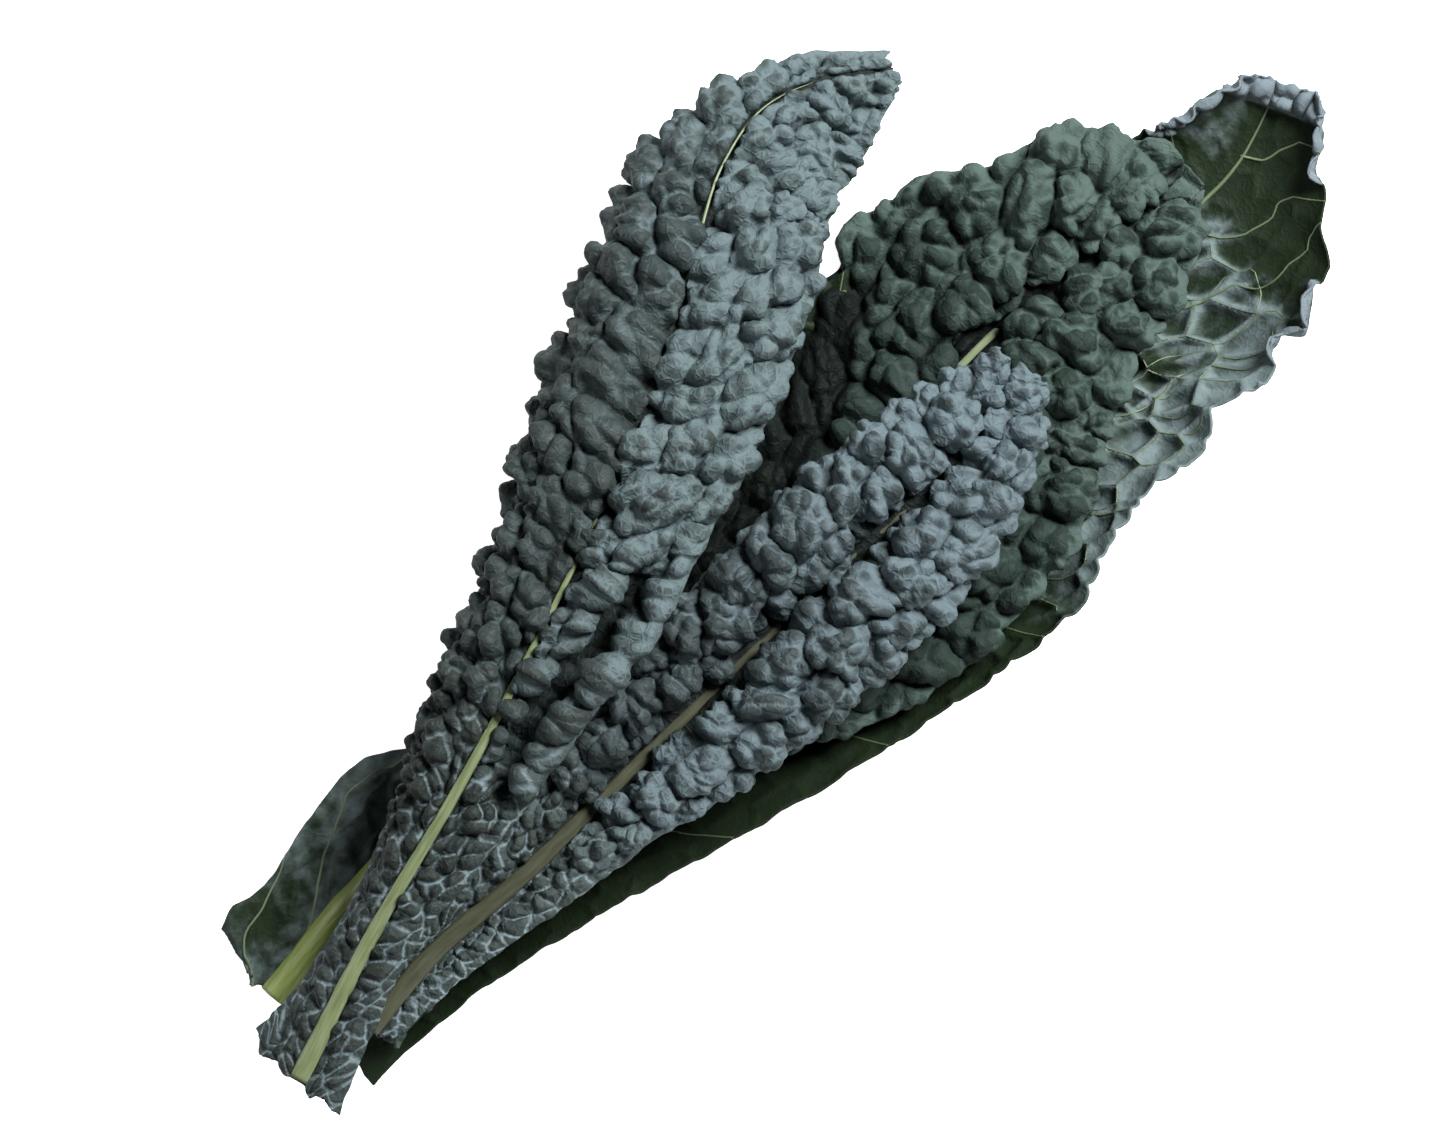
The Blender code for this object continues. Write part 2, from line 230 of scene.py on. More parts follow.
def pucker(leaf, points, grid, marks):
    # lifts the smooth blade into groups, mounds and knobs, each off the surface made before it
    side, across, place, width = grid["side"], grid["across"], grid["place"], grid["width"]
    size = readSteps(leaf["growth"], place)
    v = across * width / size
    u, v = grid["along"] - leaf["slant"] * v, stretchFolds(leaf, grid, v)
    ease = smoothStep(across * width, 0.0, 1.8) * readSteps(leaf["calm"], place)
    inner = smoothStep((1 - across) * width, 0.0, leaf["flatMargin"])
    ease = ease * (margins["kept"] + (1 - margins["kept"]) * inner)
    shape = side.shape
    depth = readSteps(leaf["valley"], place) * (1 - smoothStep(across * width, 0.0, leaf["valleyReach"]))
    points = points - softNormals(points, 6) * depth[..., None]
    hold, total = 1 - leaf["still"] * grid["shaded"], np.zeros(shape)
    for order, name in enumerate(puckers):
        look = puckers[name]
        lift, border, number = np.zeros(shape), np.zeros(shape), np.zeros(shape)
        for half in (-1, 1):
            on = side[0] == half
            seed = leaf["seed"] + (50 if half > 0 else 0)
            hu, hv = u[:, on], v[:, on]
            far, near = warps["wide"], warps["near"]
            warpU = hu + warps["wideShift"] * drift(hu / far, hv / far, seed + 1)
            warpV = hv + warps["wideShift"] * drift(hu / far, hv / far, seed + 2)
            warpU += warps["nearShift"] * drift(hu / near, hv / near, seed + 3)
            warpV += warps["nearShift"] * drift(hu / near, hv / near, seed + 4)
            lift[:, on], border[:, on], number[:, on] = cellField(
                warpU / look["along"], warpV / look["across"], seed + 7 * order, look,
            )
        height = look["height"] * readSteps(leaf["heights"][name], place)
        strength = height * (0.6 + 0.8 * number) * hold * ease * np.sqrt(size)
        normals = softNormals(points, 6)
        points = points + normals * (strength * (lift - look["level"]) * leaf["face"])[..., None]
        points = blur(points, look["soften"])
        total += strength * lift
        marks[name] = lift
        if name == "mound":
            marks["edge"] = border * look["across"] * size
        hold = hold * (0.2 + 0.8 * lift)
    full = 0.75 * sum(puckers[name]["height"] for name in puckers)
    margin = smoothStep((1 - across) * width, margins["reach"], 0.0)
    # painted shade: rise falls in the rib's valley and where the blade is marked shaded, and low rise takes
    # the dark Deep colour; the margins keep some rise and gain bloom, a painted light on the edges
    rise = np.maximum(np.clip(total / full - 0.07 * depth, 0, 1), margins["rise"] * margin)
    marks["rise"] = rise * (1 - 0.95 * grid["shaded"])
    # how much waxy bloom each half keeps; lower on the left halves, partly the leaf's own bloom and partly
    # painted shade where a half slopes away from the key light or lies beside the leaf above
    bloom = np.where(side < 0, readSteps(leaf["leftBloom"], place), readSteps(leaf["rightBloom"], place))
    marks["bloom"] = bloom + margins["bloom"] * margin
    lean = readSteps(leaf["lean"], place) * np.exp(-((across * width / leanReach) ** 2))
    lean = lean * smoothStep(across * width, 0.0, 1.5)
    return points - grid["outward"] * (lean * (0.4 + marks["group"]))[..., None]


def toLine(u, v, line):
    # how far points are from a line of points, all in millimetres
    best = np.full(u.shape, 1e9)
    for (au, av), (bu, bv) in zip(line, line[1:]):
        du, dv = bu - au, bv - av
        t = np.clip(((u - au) * du + (v - av) * dv) / max(du * du + dv * dv, 1e-9), 0, 1)
        best = np.minimum(best, np.hypot(u - au - t * du, v - av - t * dv))
    return best


def latticeOf(leaf):
    # the blade's lattice, with its rows closer where the puckers are small
    columns, rows = leaf["columns"], leaf["rows"]
    length = spineOf(leaf)[3]
    fine = np.linspace(0, 1, 800)
    stretched = np.concatenate([[0], np.cumsum(length / 799 / readSteps(leaf["growth"], fine[1:]))])
    number = np.arange(2 * columns + 2)
    onSide = np.where(number <= columns, -1, 1)
    onAcross = np.where(number <= columns, columns - number, number - columns - 1) / columns
    along = np.linspace(0, stretched[-1], rows + 1)
    side, place = np.meshgrid(onSide, np.interp(along, stretched, fine))
    across, along = np.meshgrid(onAcross, along)
    grid = {"side": side, "across": across, "place": place, "along": along, "length": length}
    wander = drift(along / 9, side * 3.3, leaf["seed"] + 9)
    wander = wander + 0.6 * drift(along / 3.4, side * 5.1, leaf["seed"] + 10)
    extra = leaf["wander"] * wander
    for half, key in ((-1, "leftEdge"), (1, "rightEdge")):
        if key in leaf:
            extra = extra + (side == half) * readSteps(leaf[key], place)
    flat = [grid[key].ravel() for key in ("side", "across", "place")]
    points, forward, outward, width = leafSurface(leaf, *flat, extra.ravel())
    grid["width"] = width.reshape(side.shape)
    grid["outward"] = outward.reshape(*side.shape, 3)
    grid["shaded"] = np.zeros(side.shape)
    points = points.reshape(*side.shape, 3)
    forward = forward.reshape(points.shape)
    signed = across * side
    for end, key in ((0.0, "cutEnd"), (1.0, "tipEnd")):
        fade = smoothStep(np.abs(place - end) * length, leaf["endReach"], 0.0)
        shift = readSteps(leaf[key], signed) + 0.6 * drift(signed * 9, signed * 0, leaf["seed"] + 20)
        points = points + forward * (fade * shift)[..., None]
    return points, grid


def halfMesh(name, points, grid, marks):
    # one half of a blade on a grid made by Blender, with its marks and a map in 100 mm units
    rows, columns = points.shape[0] - 1, points.shape[1] - 1
    bm = bmesh.new()
    bmesh.ops.create_grid(bm, x_segments=columns, y_segments=rows, size=1.0)
    mesh = bpy.data.meshes.new(name)
    bm.to_mesh(mesh)
    bm.free()
    flat = np.zeros(len(mesh.vertices) * 3, np.float32)
    mesh.vertices.foreach_get("co", flat)
    flat = flat.reshape(-1, 3)
    column = np.rint((flat[:, 0] + 1) / 2 * columns).astype(int)
    row = np.rint((flat[:, 1] + 1) / 2 * rows).astype(int)
    mesh.vertices.foreach_set("co", (points[row, column] * mm).astype(np.float32).ravel())
    for key, values in marks.items():
        made = mesh.attributes.new(key, "FLOAT", "POINT")
        made.data.foreach_set("value", values[row, column].astype(np.float32))
    corner = np.zeros(len(mesh.loops), np.int32)
    mesh.loops.foreach_get("vertex_index", corner)
    outwards = grid["across"] * grid["width"] * grid["side"]
    spread = np.stack([grid["place"] * grid["length"], outwards], axis=2)[row, column] / 100
    mesh.uv_layers.new(name="flat").data.foreach_set("uv", spread[corner].astype(np.float32).ravel())
    mesh.update()
    mesh.shade_smooth()
    return mesh


def addThing(name, data):
    thing = bpy.data.objects.new(name, data)
    bpy.context.scene.collection.objects.link(thing)
    return thing


def addPiece(mesh, name, node, material):
    mesh.materials.append(material)
    piece = addThing(name, mesh)
    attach(piece, "root")
    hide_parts(node)
    return piece


def buildBlade(leaf, material):
    points, grid = latticeOf(leaf)
    marks = {"rim": np.zeros(points.shape[:2]), "bloom": np.full(points.shape[:2], 0.5)}
    for shape in leaf["shapes"]:
        points = shape(leaf, points, grid, marks)
    points[..., 2] = np.maximum(points[..., 2], leaf["lowest"])
    leaf["surface"], leaf["grid"] = points, grid
    marks["place"] = grid["place"]
    seam = leaf["columns"] + 1
    for half, part in (("Left", slice(0, seam + 1)), ("Right", slice(seam, None))):
        some = {key: values[:, part] for key, values in marks.items()}
        cut = {key: values if key == "length" else values[:, part] for key, values in grid.items()}
        name = leaf["name"] + half
        mesh = halfMesh(name, points[:, part], cut, some)
        piece = addPiece(mesh, name, leaf["node"] + "_blade", material)
        solid = piece.modifiers.new("thickness", "SOLIDIFY")
        solid.thickness = bladeThickness * mm
        solid.offset = -1.0 if leaf["face"] > 0 else 0.0
        print("built", name)


ribShape = {"sides": 24, "rings": 260, "crown": 0.35, "keel": 1.15, "wave": 0.06, "grooves": 0.03}


def buildRib(leaf, material):
    sides, rings = ribShape["sides"], ribShape["rings"]
    bm = bmesh.new()
    bmesh.ops.create_cone(bm, cap_ends=True, segments=sides, radius1=1.0, radius2=1.0, depth=2.0)
    wall = [edge for edge in bm.edges if abs(edge.verts[0].co.z - edge.verts[1].co.z) > 1]
    bmesh.ops.subdivide_edges(bm, edges=wall, cuts=rings - 1, use_grid_fill=True)
    flat = np.array([vertex.co for vertex in bm.verts])
    place = (flat[:, 2] + 1) / 2 * leaf["ribEnd"]
    angle = np.arctan2(flat[:, 1], flat[:, 0])
    point, _, right, up = frameAt(leaf, place)
    close = np.sqrt(np.clip((leaf["ribEnd"] - place) / 0.06, 0.02, 1.0))
    half = ribHalf(leaf, place) * close * readSteps(leaf["ribSlim"], place)
    half = half * (1 + ribShape["wave"] * drift(place * 60, angle * 0 + leaf["seed"], 5))
    groove = 1 + ribShape["grooves"] * np.sin(angle * 9 + leaf["seed"])
    tall = np.where(np.sin(angle) > 0, ribShape["crown"], ribShape["keel"])
    points = point + right * (np.cos(angle) * half * groove)[:, None]
    points += up * (np.sin(angle) * half * tall * groove * leaf["face"])[:, None]
    points += up * (leaf["face"] * readSteps(leaf["ribSink"], place))[:, None]
    points[:, 2] = np.maximum(points[:, 2], 0.0)
    layer = bm.loops.layers.uv.new("flat")
    for vertex, co in zip(bm.verts, points * mm):
        vertex.co = co
    around = dict(zip(bm.verts, zip(place * 3.5, angle * half / 100)))
    for face in bm.faces:
        for loop in face.loops:
            loop[layer].uv = around[loop.vert]
    bmesh.ops.recalc_face_normals(bm, faces=bm.faces[:])
    mesh = bpy.data.meshes.new(leaf["name"] + "Rib")
    bm.to_mesh(mesh)
    bm.free()
    mesh.shade_smooth()
    addPiece(mesh, leaf["name"] + "Rib", leaf["node"] + "_rib", material)
    print("built", mesh.name)


def onSurface(leaf, side, place, across, lift):
    # points on the finished blade, raised off it by lift
    grid, points = leaf["grid"], leaf["surface"]
    normals = leaf["surfaceNormals"]
    columns = leaf["columns"]
    row = np.interp(place, grid["place"][:, 0], np.arange(len(grid["place"])))
    step = np.clip(across, 0, 1) * columns
    column = columns - step if side < 0 else columns + 1 + step
    i = np.clip(row.astype(int), 0, points.shape[0] - 2)
    j = np.clip(column.astype(int), 0, points.shape[1] - 2)
    a, b = (row - i)[:, None], (column - j)[:, None]

    def at(field):
        low = field[i, j] * (1 - a) + field[i + 1, j] * a
        return low * (1 - b) + (field[i, j + 1] * (1 - a) + field[i + 1, j + 1] * a) * b

    return at(points) + at(normals) * lift[:, None]


veinLift = 0.12
usualWidth = 50
usualLength = 380


def buildVeins(leaf, lines, material):
    # veins as slim tubes that lie on the blade, from lines of places, distances and half widths
    leaf["surfaceNormals"] = softNormals(leaf["surface"], 2)
    curve = bpy.data.curves.new(leaf["name"] + "Veins", "CURVE")
    curve.dimensions = "3D"
    curve.bevel_depth = mm
    curve.bevel_resolution = 1
    curve.use_fill_caps = True
    for side, path in lines:
        path = np.array(path, float)
        ahead = np.diff(path[:, 0]) * leaf["grid"]["length"]
        outward = np.diff(path[:, 1]) * usualWidth
        reach = np.concatenate([[0], np.cumsum(np.hypot(ahead, outward))])
        count = max(3, int(reach[-1] / 1.6))
        fine = np.linspace(0, reach[-1], count)
        place, across, half = (np.interp(fine, reach, path[:, k]) for k in range(3))
        points = onSurface(leaf, side, place, across, half * 0.7 + veinLift) * mm
        spline = curve.splines.new("POLY")
        spline.points.add(count - 1)
        for slot, (co, radius) in enumerate(zip(points, half)):
            spline.points[slot].co = (*co, 1.0)
            spline.points[slot].radius = radius
    holder = addThing(leaf["name"] + "VeinCurve", curve)
    view = bpy.context.evaluated_depsgraph_get()
    mesh = bpy.data.meshes.new_from_object(holder.evaluated_get(view))
    bpy.data.objects.remove(holder)
    bpy.data.curves.remove(curve)
    mesh.name = leaf["name"] + "Veins"
    mesh.shade_smooth()
    mesh.materials.clear()
    addPiece(mesh, leaf["name"] + "Veins", leaf["node"] + "_blade", material)
    print("built", mesh.name)


# how many of each mark stand along 100 mm of a blade, and the crackle's cells in a metre
skinScales = {"wide": 20.0, "near": 70.0, "fine": 260.0, "crackle": 420.0}


def leafSkin():
    # one leaf's colour from its relief: waxy bloom on flanks and in folds, bare tops, specks on the knobs,
    # a pale net round dark cells near the base, and painted shade: the Deep colour where the relief is low
    group = bpy.data.node_groups.new("leafSkin", "ShaderNodeTree")
    sockets = group.interface
    for name in ("Top", "Bloom", "Deep", "Speck", "Cell", "Net"):
        sockets.new_socket(name, in_out="INPUT", socket_type="NodeSocketColor")
    for name in ("Speck Amount", "Net End"):
        sockets.new_socket(name, in_out="INPUT", socket_type="NodeSocketFloat")
    sockets.new_socket("Color", in_out="OUTPUT", socket_type="NodeSocketColor")
    sockets.new_socket("Roughness", in_out="OUTPUT", socket_type="NodeSocketFloat")
    sockets.new_socket("Height", in_out="OUTPUT", socket_type="NodeSocketFloat")
    nodes, links = group.nodes, group.links
    source, result = nodes.new("NodeGroupInput"), nodes.new("NodeGroupOutput")
    given = source.outputs

    def attribute(key):
        made = nodes.new("ShaderNodeAttribute")
        made.attribute_name = key
        return made.outputs["Fac"]

    def plug(value, socket):
        if isinstance(value, (int, float)):
            socket.default_value = value
        else:
            links.new(value, socket)

    def maths(operation, *values):
        made = nodes.new("ShaderNodeMath")
        made.operation = operation
        for slot, value in enumerate(values):
            plug(value, made.inputs[slot])
        return made.outputs[0]

    def times(a, b):
        return maths("MULTIPLY", a, b)

    def timesPlus(a, b, c):
        return maths("MULTIPLY_ADD", a, b, c)

    def mix(a, b, factor):
        made = nodes.new("ShaderNodeMix")
        made.data_type = "RGBA"
        plug(a, made.inputs[6])
        plug(b, made.inputs[7])
        plug(factor, made.inputs[0])
        return made.outputs[2]

    def ease(value, low, high):
        made = nodes.new("ShaderNodeMapRange")
        made.interpolation_type = "SMOOTHSTEP"
        plug(value, made.inputs["Value"])
        plug(low, made.inputs["From Min"])
        plug(high, made.inputs["From Max"])
        return made.outputs["Result"]

    def noise(scale, detail):
        made = nodes.new("ShaderNodeTexNoise")
        made.inputs["Scale"].default_value = scale
        made.inputs["Detail"].default_value = detail
        links.new(flat, made.inputs["Vector"])
        return made.outputs["Fac"]

    uv = nodes.new("ShaderNodeUVMap")
    uv.uv_map = "flat"
    flat = uv.outputs["UV"]
    wide, near = noise(skinScales["wide"], 4.0), noise(skinScales["near"], 4.0)
    fine = noise(skinScales["fine"], 3.0)
    rise, edge, bloom = attribute("rise"), attribute("edge"), attribute("bloom")
    top = times(attribute("group"), attribute("mound"))
    uncovered = timesPlus(wide, 0.7, times(top, attribute("knob")))
    uncovered = maths("ADD", uncovered, times(maths("SUBTRACT", 0.5, bloom), 1.2))
    waxy = ease(uncovered, 1.15, 0.6)
    color = mix(given["Top"], given["Bloom"], waxy)
    crackle = nodes.new("ShaderNodeTexVoronoi")
    crackle.feature = "DISTANCE_TO_EDGE"
    crackle.inputs["Scale"].default_value = skinScales["crackle"]
    links.new(nodes.new("ShaderNodeTexCoord").outputs["Object"], crackle.inputs["Vector"])
    inside = ease(crackle.outputs["Distance"], 0.03, 0.2)
    facet = times(inside, times(ease(top, 0.3, 0.75), ease(near, 0.40, 0.56)))
    facet = times(facet, timesPlus(ease(attribute("place"), 0.8, 0.5), 0.8, 0.2))
    tip = times(ease(times(top, attribute("knob")), 0.72, 0.9), ease(near, 0.45, 0.6))
    speck = maths("MAXIMUM", facet, tip)
    color = mix(color, given["Speck"], times(speck, given["Speck Amount"]))
    low = ease(attribute("place"), given["Net End"], times(given["Net End"], 0.6))
    veined = times(ease(timesPlus(near, 0.7, edge), 1.0, 0.35), low)
    color = mix(color, given["Cell"], times(low, 0.8))
    color = mix(color, given["Net"], times(veined, ease(wide, 0.25, 0.55)))
    color = mix(color, given["Net"], times(attribute("rim"), 0.8))
    # painted shade: where rise is low, in the creases and the places marked shaded, the colour turns to
    # Deep, less so near the base
    creaseShade = times(ease(rise, 0.46, 0.05), timesPlus(low, -0.8, 1.0))
    color = mix(color, given["Deep"], creaseShade)
    links.new(color, result.inputs["Color"])
    bare = timesPlus(near, 0.2, 0.48)
    links.new(timesPlus(waxy, 0.08, bare), result.inputs["Roughness"])
    ridges = timesPlus(inside, -0.5, times(fine, 0.3))
    rough = timesPlus(near, 0.7, ridges)
    links.new(rough, result.inputs["Height"])
    return group


def startMaterial(name):
    material = bpy.data.materials.new(name)
    material.use_nodes = True
    nodes = material.node_tree.nodes
    return material, nodes, material.node_tree.links, nodes["Principled BSDF"]


def addBump(nodes, links, shader, height, strength, distance):
    bump = nodes.new("ShaderNodeBump")
    bump.inputs["Strength"].default_value = strength
    bump.inputs["Distance"].default_value = distance * mm
    links.new(height, bump.inputs["Height"])
    links.new(bump.outputs["Normal"], shader.inputs["Normal"])


def bladeMaterial(name, skin, look):
    material, nodes, links, shader = startMaterial(name)
    placed = nodes.new("ShaderNodeGroup")
    placed.node_tree = skin
    for key, value in look["skin"].items():
        placed.inputs[key].default_value = (*value, 1.0) if isinstance(value, tuple) else value
    addBump(nodes, links, shader, placed.outputs["Height"], look["grain"], 0.5)
    links.new(placed.outputs["Color"], shader.inputs["Base Color"])
    links.new(placed.outputs["Roughness"], shader.inputs["Roughness"])
    shader.inputs["Specular IOR Level"].default_value = look["shine"]
    return material


def ribMaterial(name, look):
    # long pale streaks along the rib
    material, nodes, links, shader = startMaterial(name)
    uv = nodes.new("ShaderNodeUVMap")
    uv.uv_map = "flat"
    stretch = nodes.new("ShaderNodeMapping")
    stretch.inputs["Scale"].default_value = (6.0, 60.0, 1.0)
    links.new(uv.outputs["UV"], stretch.inputs["Vector"])
    streak = nodes.new("ShaderNodeTexNoise")
    streak.inputs["Scale"].default_value = 1.6
    streak.inputs["Detail"].default_value = 5.0
    links.new(stretch.outputs["Vector"], streak.inputs["Vector"])
    ramp = nodes.new("ShaderNodeValToRGB")
    for slot, (position, color) in enumerate(look["colors"]):
        if slot > 1:
            ramp.color_ramp.elements.new(position)
        ramp.color_ramp.elements[slot].position = position
        ramp.color_ramp.elements[slot].color = (*color, 1.0)
    links.new(streak.outputs["Fac"], ramp.inputs["Fac"])
    addBump(nodes, links, shader, streak.outputs["Fac"], 0.4, 0.4)
    links.new(ramp.outputs["Color"], shader.inputs["Base Color"])
    shader.inputs["Roughness"].default_value = look["roughness"]
    return material


skin = leafSkin()
print("leaf skin made")
even = [(0.0, 1.0), (1.0, 1.0)]
usualLeaf = {
    "face": 1, "ribEnd": 0.93, "ribSlim": even, "rows": 560, "endReach": 14.0, "lowest": 1.0,
    "wander": 0.5, "flatMargin": 6.0, "tipEnd": [(-1.0, 0.0), (1.0, 0.0)],
}


# The long leaf lies on top, its blistered face up and its margins rolled under. A pleat runs along its
# right half, between a channel, deep and with painted shade, and a ridge that starts in a hook.
longLeaf = {
    **usualLeaf,
    "name": "longLeaf",
    "node": "long_leaf",
    "spine": [
        (-12, -187, 36), (-22, -143, 39), (-30, -95, 45), (-41, -45, 48), (-55, 7, 46),
        (-72, 49, 40), (-83, 75, 32), (-85, 94, 23), (-78.5, 111, 14), (-65.5, 127, 7),
    ],
    "left": [
        (0.00, 15, -10, -20, -25, -30, -35), (0.06, 12, -20, -30, -40, -45, -50),
        (0.13, 11, -25, -40, -50, -55, -60), (0.28, 25, 0, -25, -50, -70, -95),
        (0.44, 35, 5, -20, -45, -75, -110), (0.60, 48, 10, -15, -45, -80, -115),
        (0.73, 46.5, 5, -20, -50, -85, -115), (0.82, 35, 0, -25, -50, -75, -100),
        (0.88, 20, -5, -25, -45, -65, -85), (0.94, 11, -10, -20, -35, -50, -65),
        (1.00, 4, -5, -10, -15, -20, -25),
    ],
    "right": [
        (0.00, 12, 15, 10, 0, -10, -20), (0.13, 10.5, 25, 10, -10, -25, -35),
        (0.27, 19, 20, -30, -35, 30, -60), (0.38, 26, 25, -25, -30, 25, -70),
        (0.50, 31, 15, 5, -10, -25, -50), (0.62, 39.5, 15, 5, -15, -40, -75),
        (0.73, 43, 15, 0, -20, -45, -80), (0.82, 38.5, 10, 0, -15, -35, -65),
        (0.90, 33, 5, 0, -10, -20, -40), (0.96, 26.5, 0, -5, -10, -15, -25),
        (1.00, 6, 0, -5, -10, -10, -10),
    ],
    "rib": [(0.0, 3.0), (0.15, 2.5), (0.35, 1.8), (0.6, 1.1), (1.0, 0.7)],
    "ribSink": [
        (0.0, 0.6), (0.3, 0.2), (0.42, -1.8), (0.5, -3.5), (0.68, -4.5), (0.76, -0.4), (0.82, 0.2),
        (0.89, 0.1), (0.93, -0.6), (1.0, -0.6),
    ],
    "ribSlim": [
        (0.0, 0.86), (0.2, 0.72), (0.35, 0.62), (0.5, 0.45), (0.8, 0.38), (0.9, 0.25), (1.0, 0.25),
    ],
    "rows": 620,
    "columns": 77,
    "growth": [(0.0, 0.62), (0.15, 0.66), (0.35, 0.8), (0.6, 1.0), (0.85, 0.9), (1.0, 0.75)],
    "calm": [(0.0, 0.5), (0.15, 0.65), (0.35, 1.0), (1.0, 0.9)],
    "heights": {
        "group": [(0.0, 0.4), (0.2, 0.7), (0.4, 1.0), (1.0, 0.9)],
        "mound": [(0.0, 1.1), (1.0, 1.0)],
        "knob": [(0.0, 0.5), (0.25, 0.7), (0.4, 1.0), (1.0, 1.0)],
    },
    "valley": [(0.0, 0.0), (0.3, 1.0), (0.45, 3.5), (0.72, 3.5), (0.85, 1.5), (1.0, 0.0)],
    "valleyReach": 10.0,
    # less bloom on the left half: partly painted shade on the half that slopes away from the key light
    "leftBloom": [
        (0.0, 0.4), (0.3, 0.1), (0.45, 0.02), (0.62, 0.08), (0.8, 0.25), (0.9, 0.55), (1.0, 0.65),
    ],
    "rightBloom": [(0.0, 0.4), (0.4, 0.3), (0.6, 0.55), (1.0, 0.65)],
    "rightEdge": [
        (0.0, -1.0), (0.15, -1.5), (0.3, -2.0), (0.45, -3.4), (0.72, -3.4), (0.9, -2.5), (1.0, 0.0),
    ],
    "lean": [(0.0, 0.2), (0.25, 0.4), (0.4, 0.8), (0.5, 1.4), (0.74, 1.4), (0.80, 0.0), (1.0, 0.0)],
    "slant": 0.45,
    "still": 0.9,
    "folds": [{"side": -1, "place": 0.62, "reach": 0.075, "across": 0.5}],
    "leftEdge": [
        (0.0, 0.0), (0.3, -1.5), (0.42, -3.2), (0.5, -4.8), (0.66, -5.4), (0.77, -3.6), (0.9, -2.6),
        (1.0, 0.0),
    ],
    "seed": 11,
    "slot": "long_blade",
    "endReach": 16.0,
    "cutEnd": [
        (-1.0, 5.5), (-0.85, 4.0), (-0.7, 0.5), (-0.4, 1.5), (-0.1, -0.5), (0.2, -3.0), (0.5, -1.5),
        (0.75, -3.0), (1.0, -4.5),
    ],
    "tipEnd": [(-1.0, 1.0), (-0.6, -1.0), (-0.2, 1.0), (0.2, -1.0), (0.5, 1.5), (1.0, -1.0)],
    "pleat": {
        "side": 1,
        "ridge": [(0.28, 0.68), (0.34, 0.65), (0.38, 0.70), (0.41, 0.79), (0.44, 0.86), (0.51, 0.99)],
        "channel": [(0.28, 0.46), (0.33, 0.39), (0.37, 0.45), (0.42, 0.54), (0.47, 0.62)],
        "start": 0.288, "end": 0.54, "height": 6.0, "depth": 10.0, "half": 3.4,
    },
}
# Deep is a painted shade: the colour of the creases, the rib valley and the pleat channel
longSkin = {
    "skin": {
        "Top": (0.023, 0.032, 0.032), "Bloom": (0.074, 0.102, 0.108), "Deep": (0.008, 0.012, 0.011),
        "Speck": (0.017, 0.021, 0.017), "Cell": (0.010, 0.014, 0.011), "Net": (0.115, 0.152, 0.164),
        "Speck Amount": 0.7, "Net End": 0.42,
    },
    "grain": 0.6,
    "shine": 0.14,
}
longRib = {
    "colors": [(0.25, (0.075, 0.10, 0.035)), (0.5, (0.115, 0.145, 0.065)), (0.75, (0.16, 0.19, 0.11))],
    "roughness": 0.5,
}


def foldPleat(leaf, points, grid, marks):
    pleat = leaf["pleat"]
    place, across, width = grid["place"], grid["across"], grid["width"]
    pleated = (grid["side"] == pleat["side"]).astype(float)
    run = smoothStep(place, pleat["start"] - 0.004, pleat["start"] + 0.004)
    run *= smoothStep(place, pleat["end"], pleat["end"] - 0.12)
    fromRidge = (across - readSteps(pleat["ridge"], place)) * width
    fromChannel = (across - readSteps(pleat["channel"], place)) * width
    ridge = np.exp(-np.abs(fromRidge / pleat["half"]) ** 2.6)
    deep = smoothStep(place, pleat["start"] - 0.03, pleat["start"] + 0.02)
    deep *= smoothStep(place, pleat["end"], pleat["end"] - 0.1)
    channel = np.exp(-np.abs(fromChannel / (pleat["half"] * 1.45)) ** 3)
    # painted shade: the channel is marked shaded, which paints it dark and calms its relief
    grid["shaded"] = 0.9 * pleated * channel * deep
    lift = pleated * (ridge * run * pleat["height"] - channel * deep * pleat["depth"])
    return points + softNormals(points, 6) * lift[..., None]


longLeaf["shapes"] = [foldPleat, pucker]
buildBlade(longLeaf, bladeMaterial("blueGreyLeaf", skin, longSkin))
buildRib(longLeaf, ribMaterial("paleGreenRib", longRib))

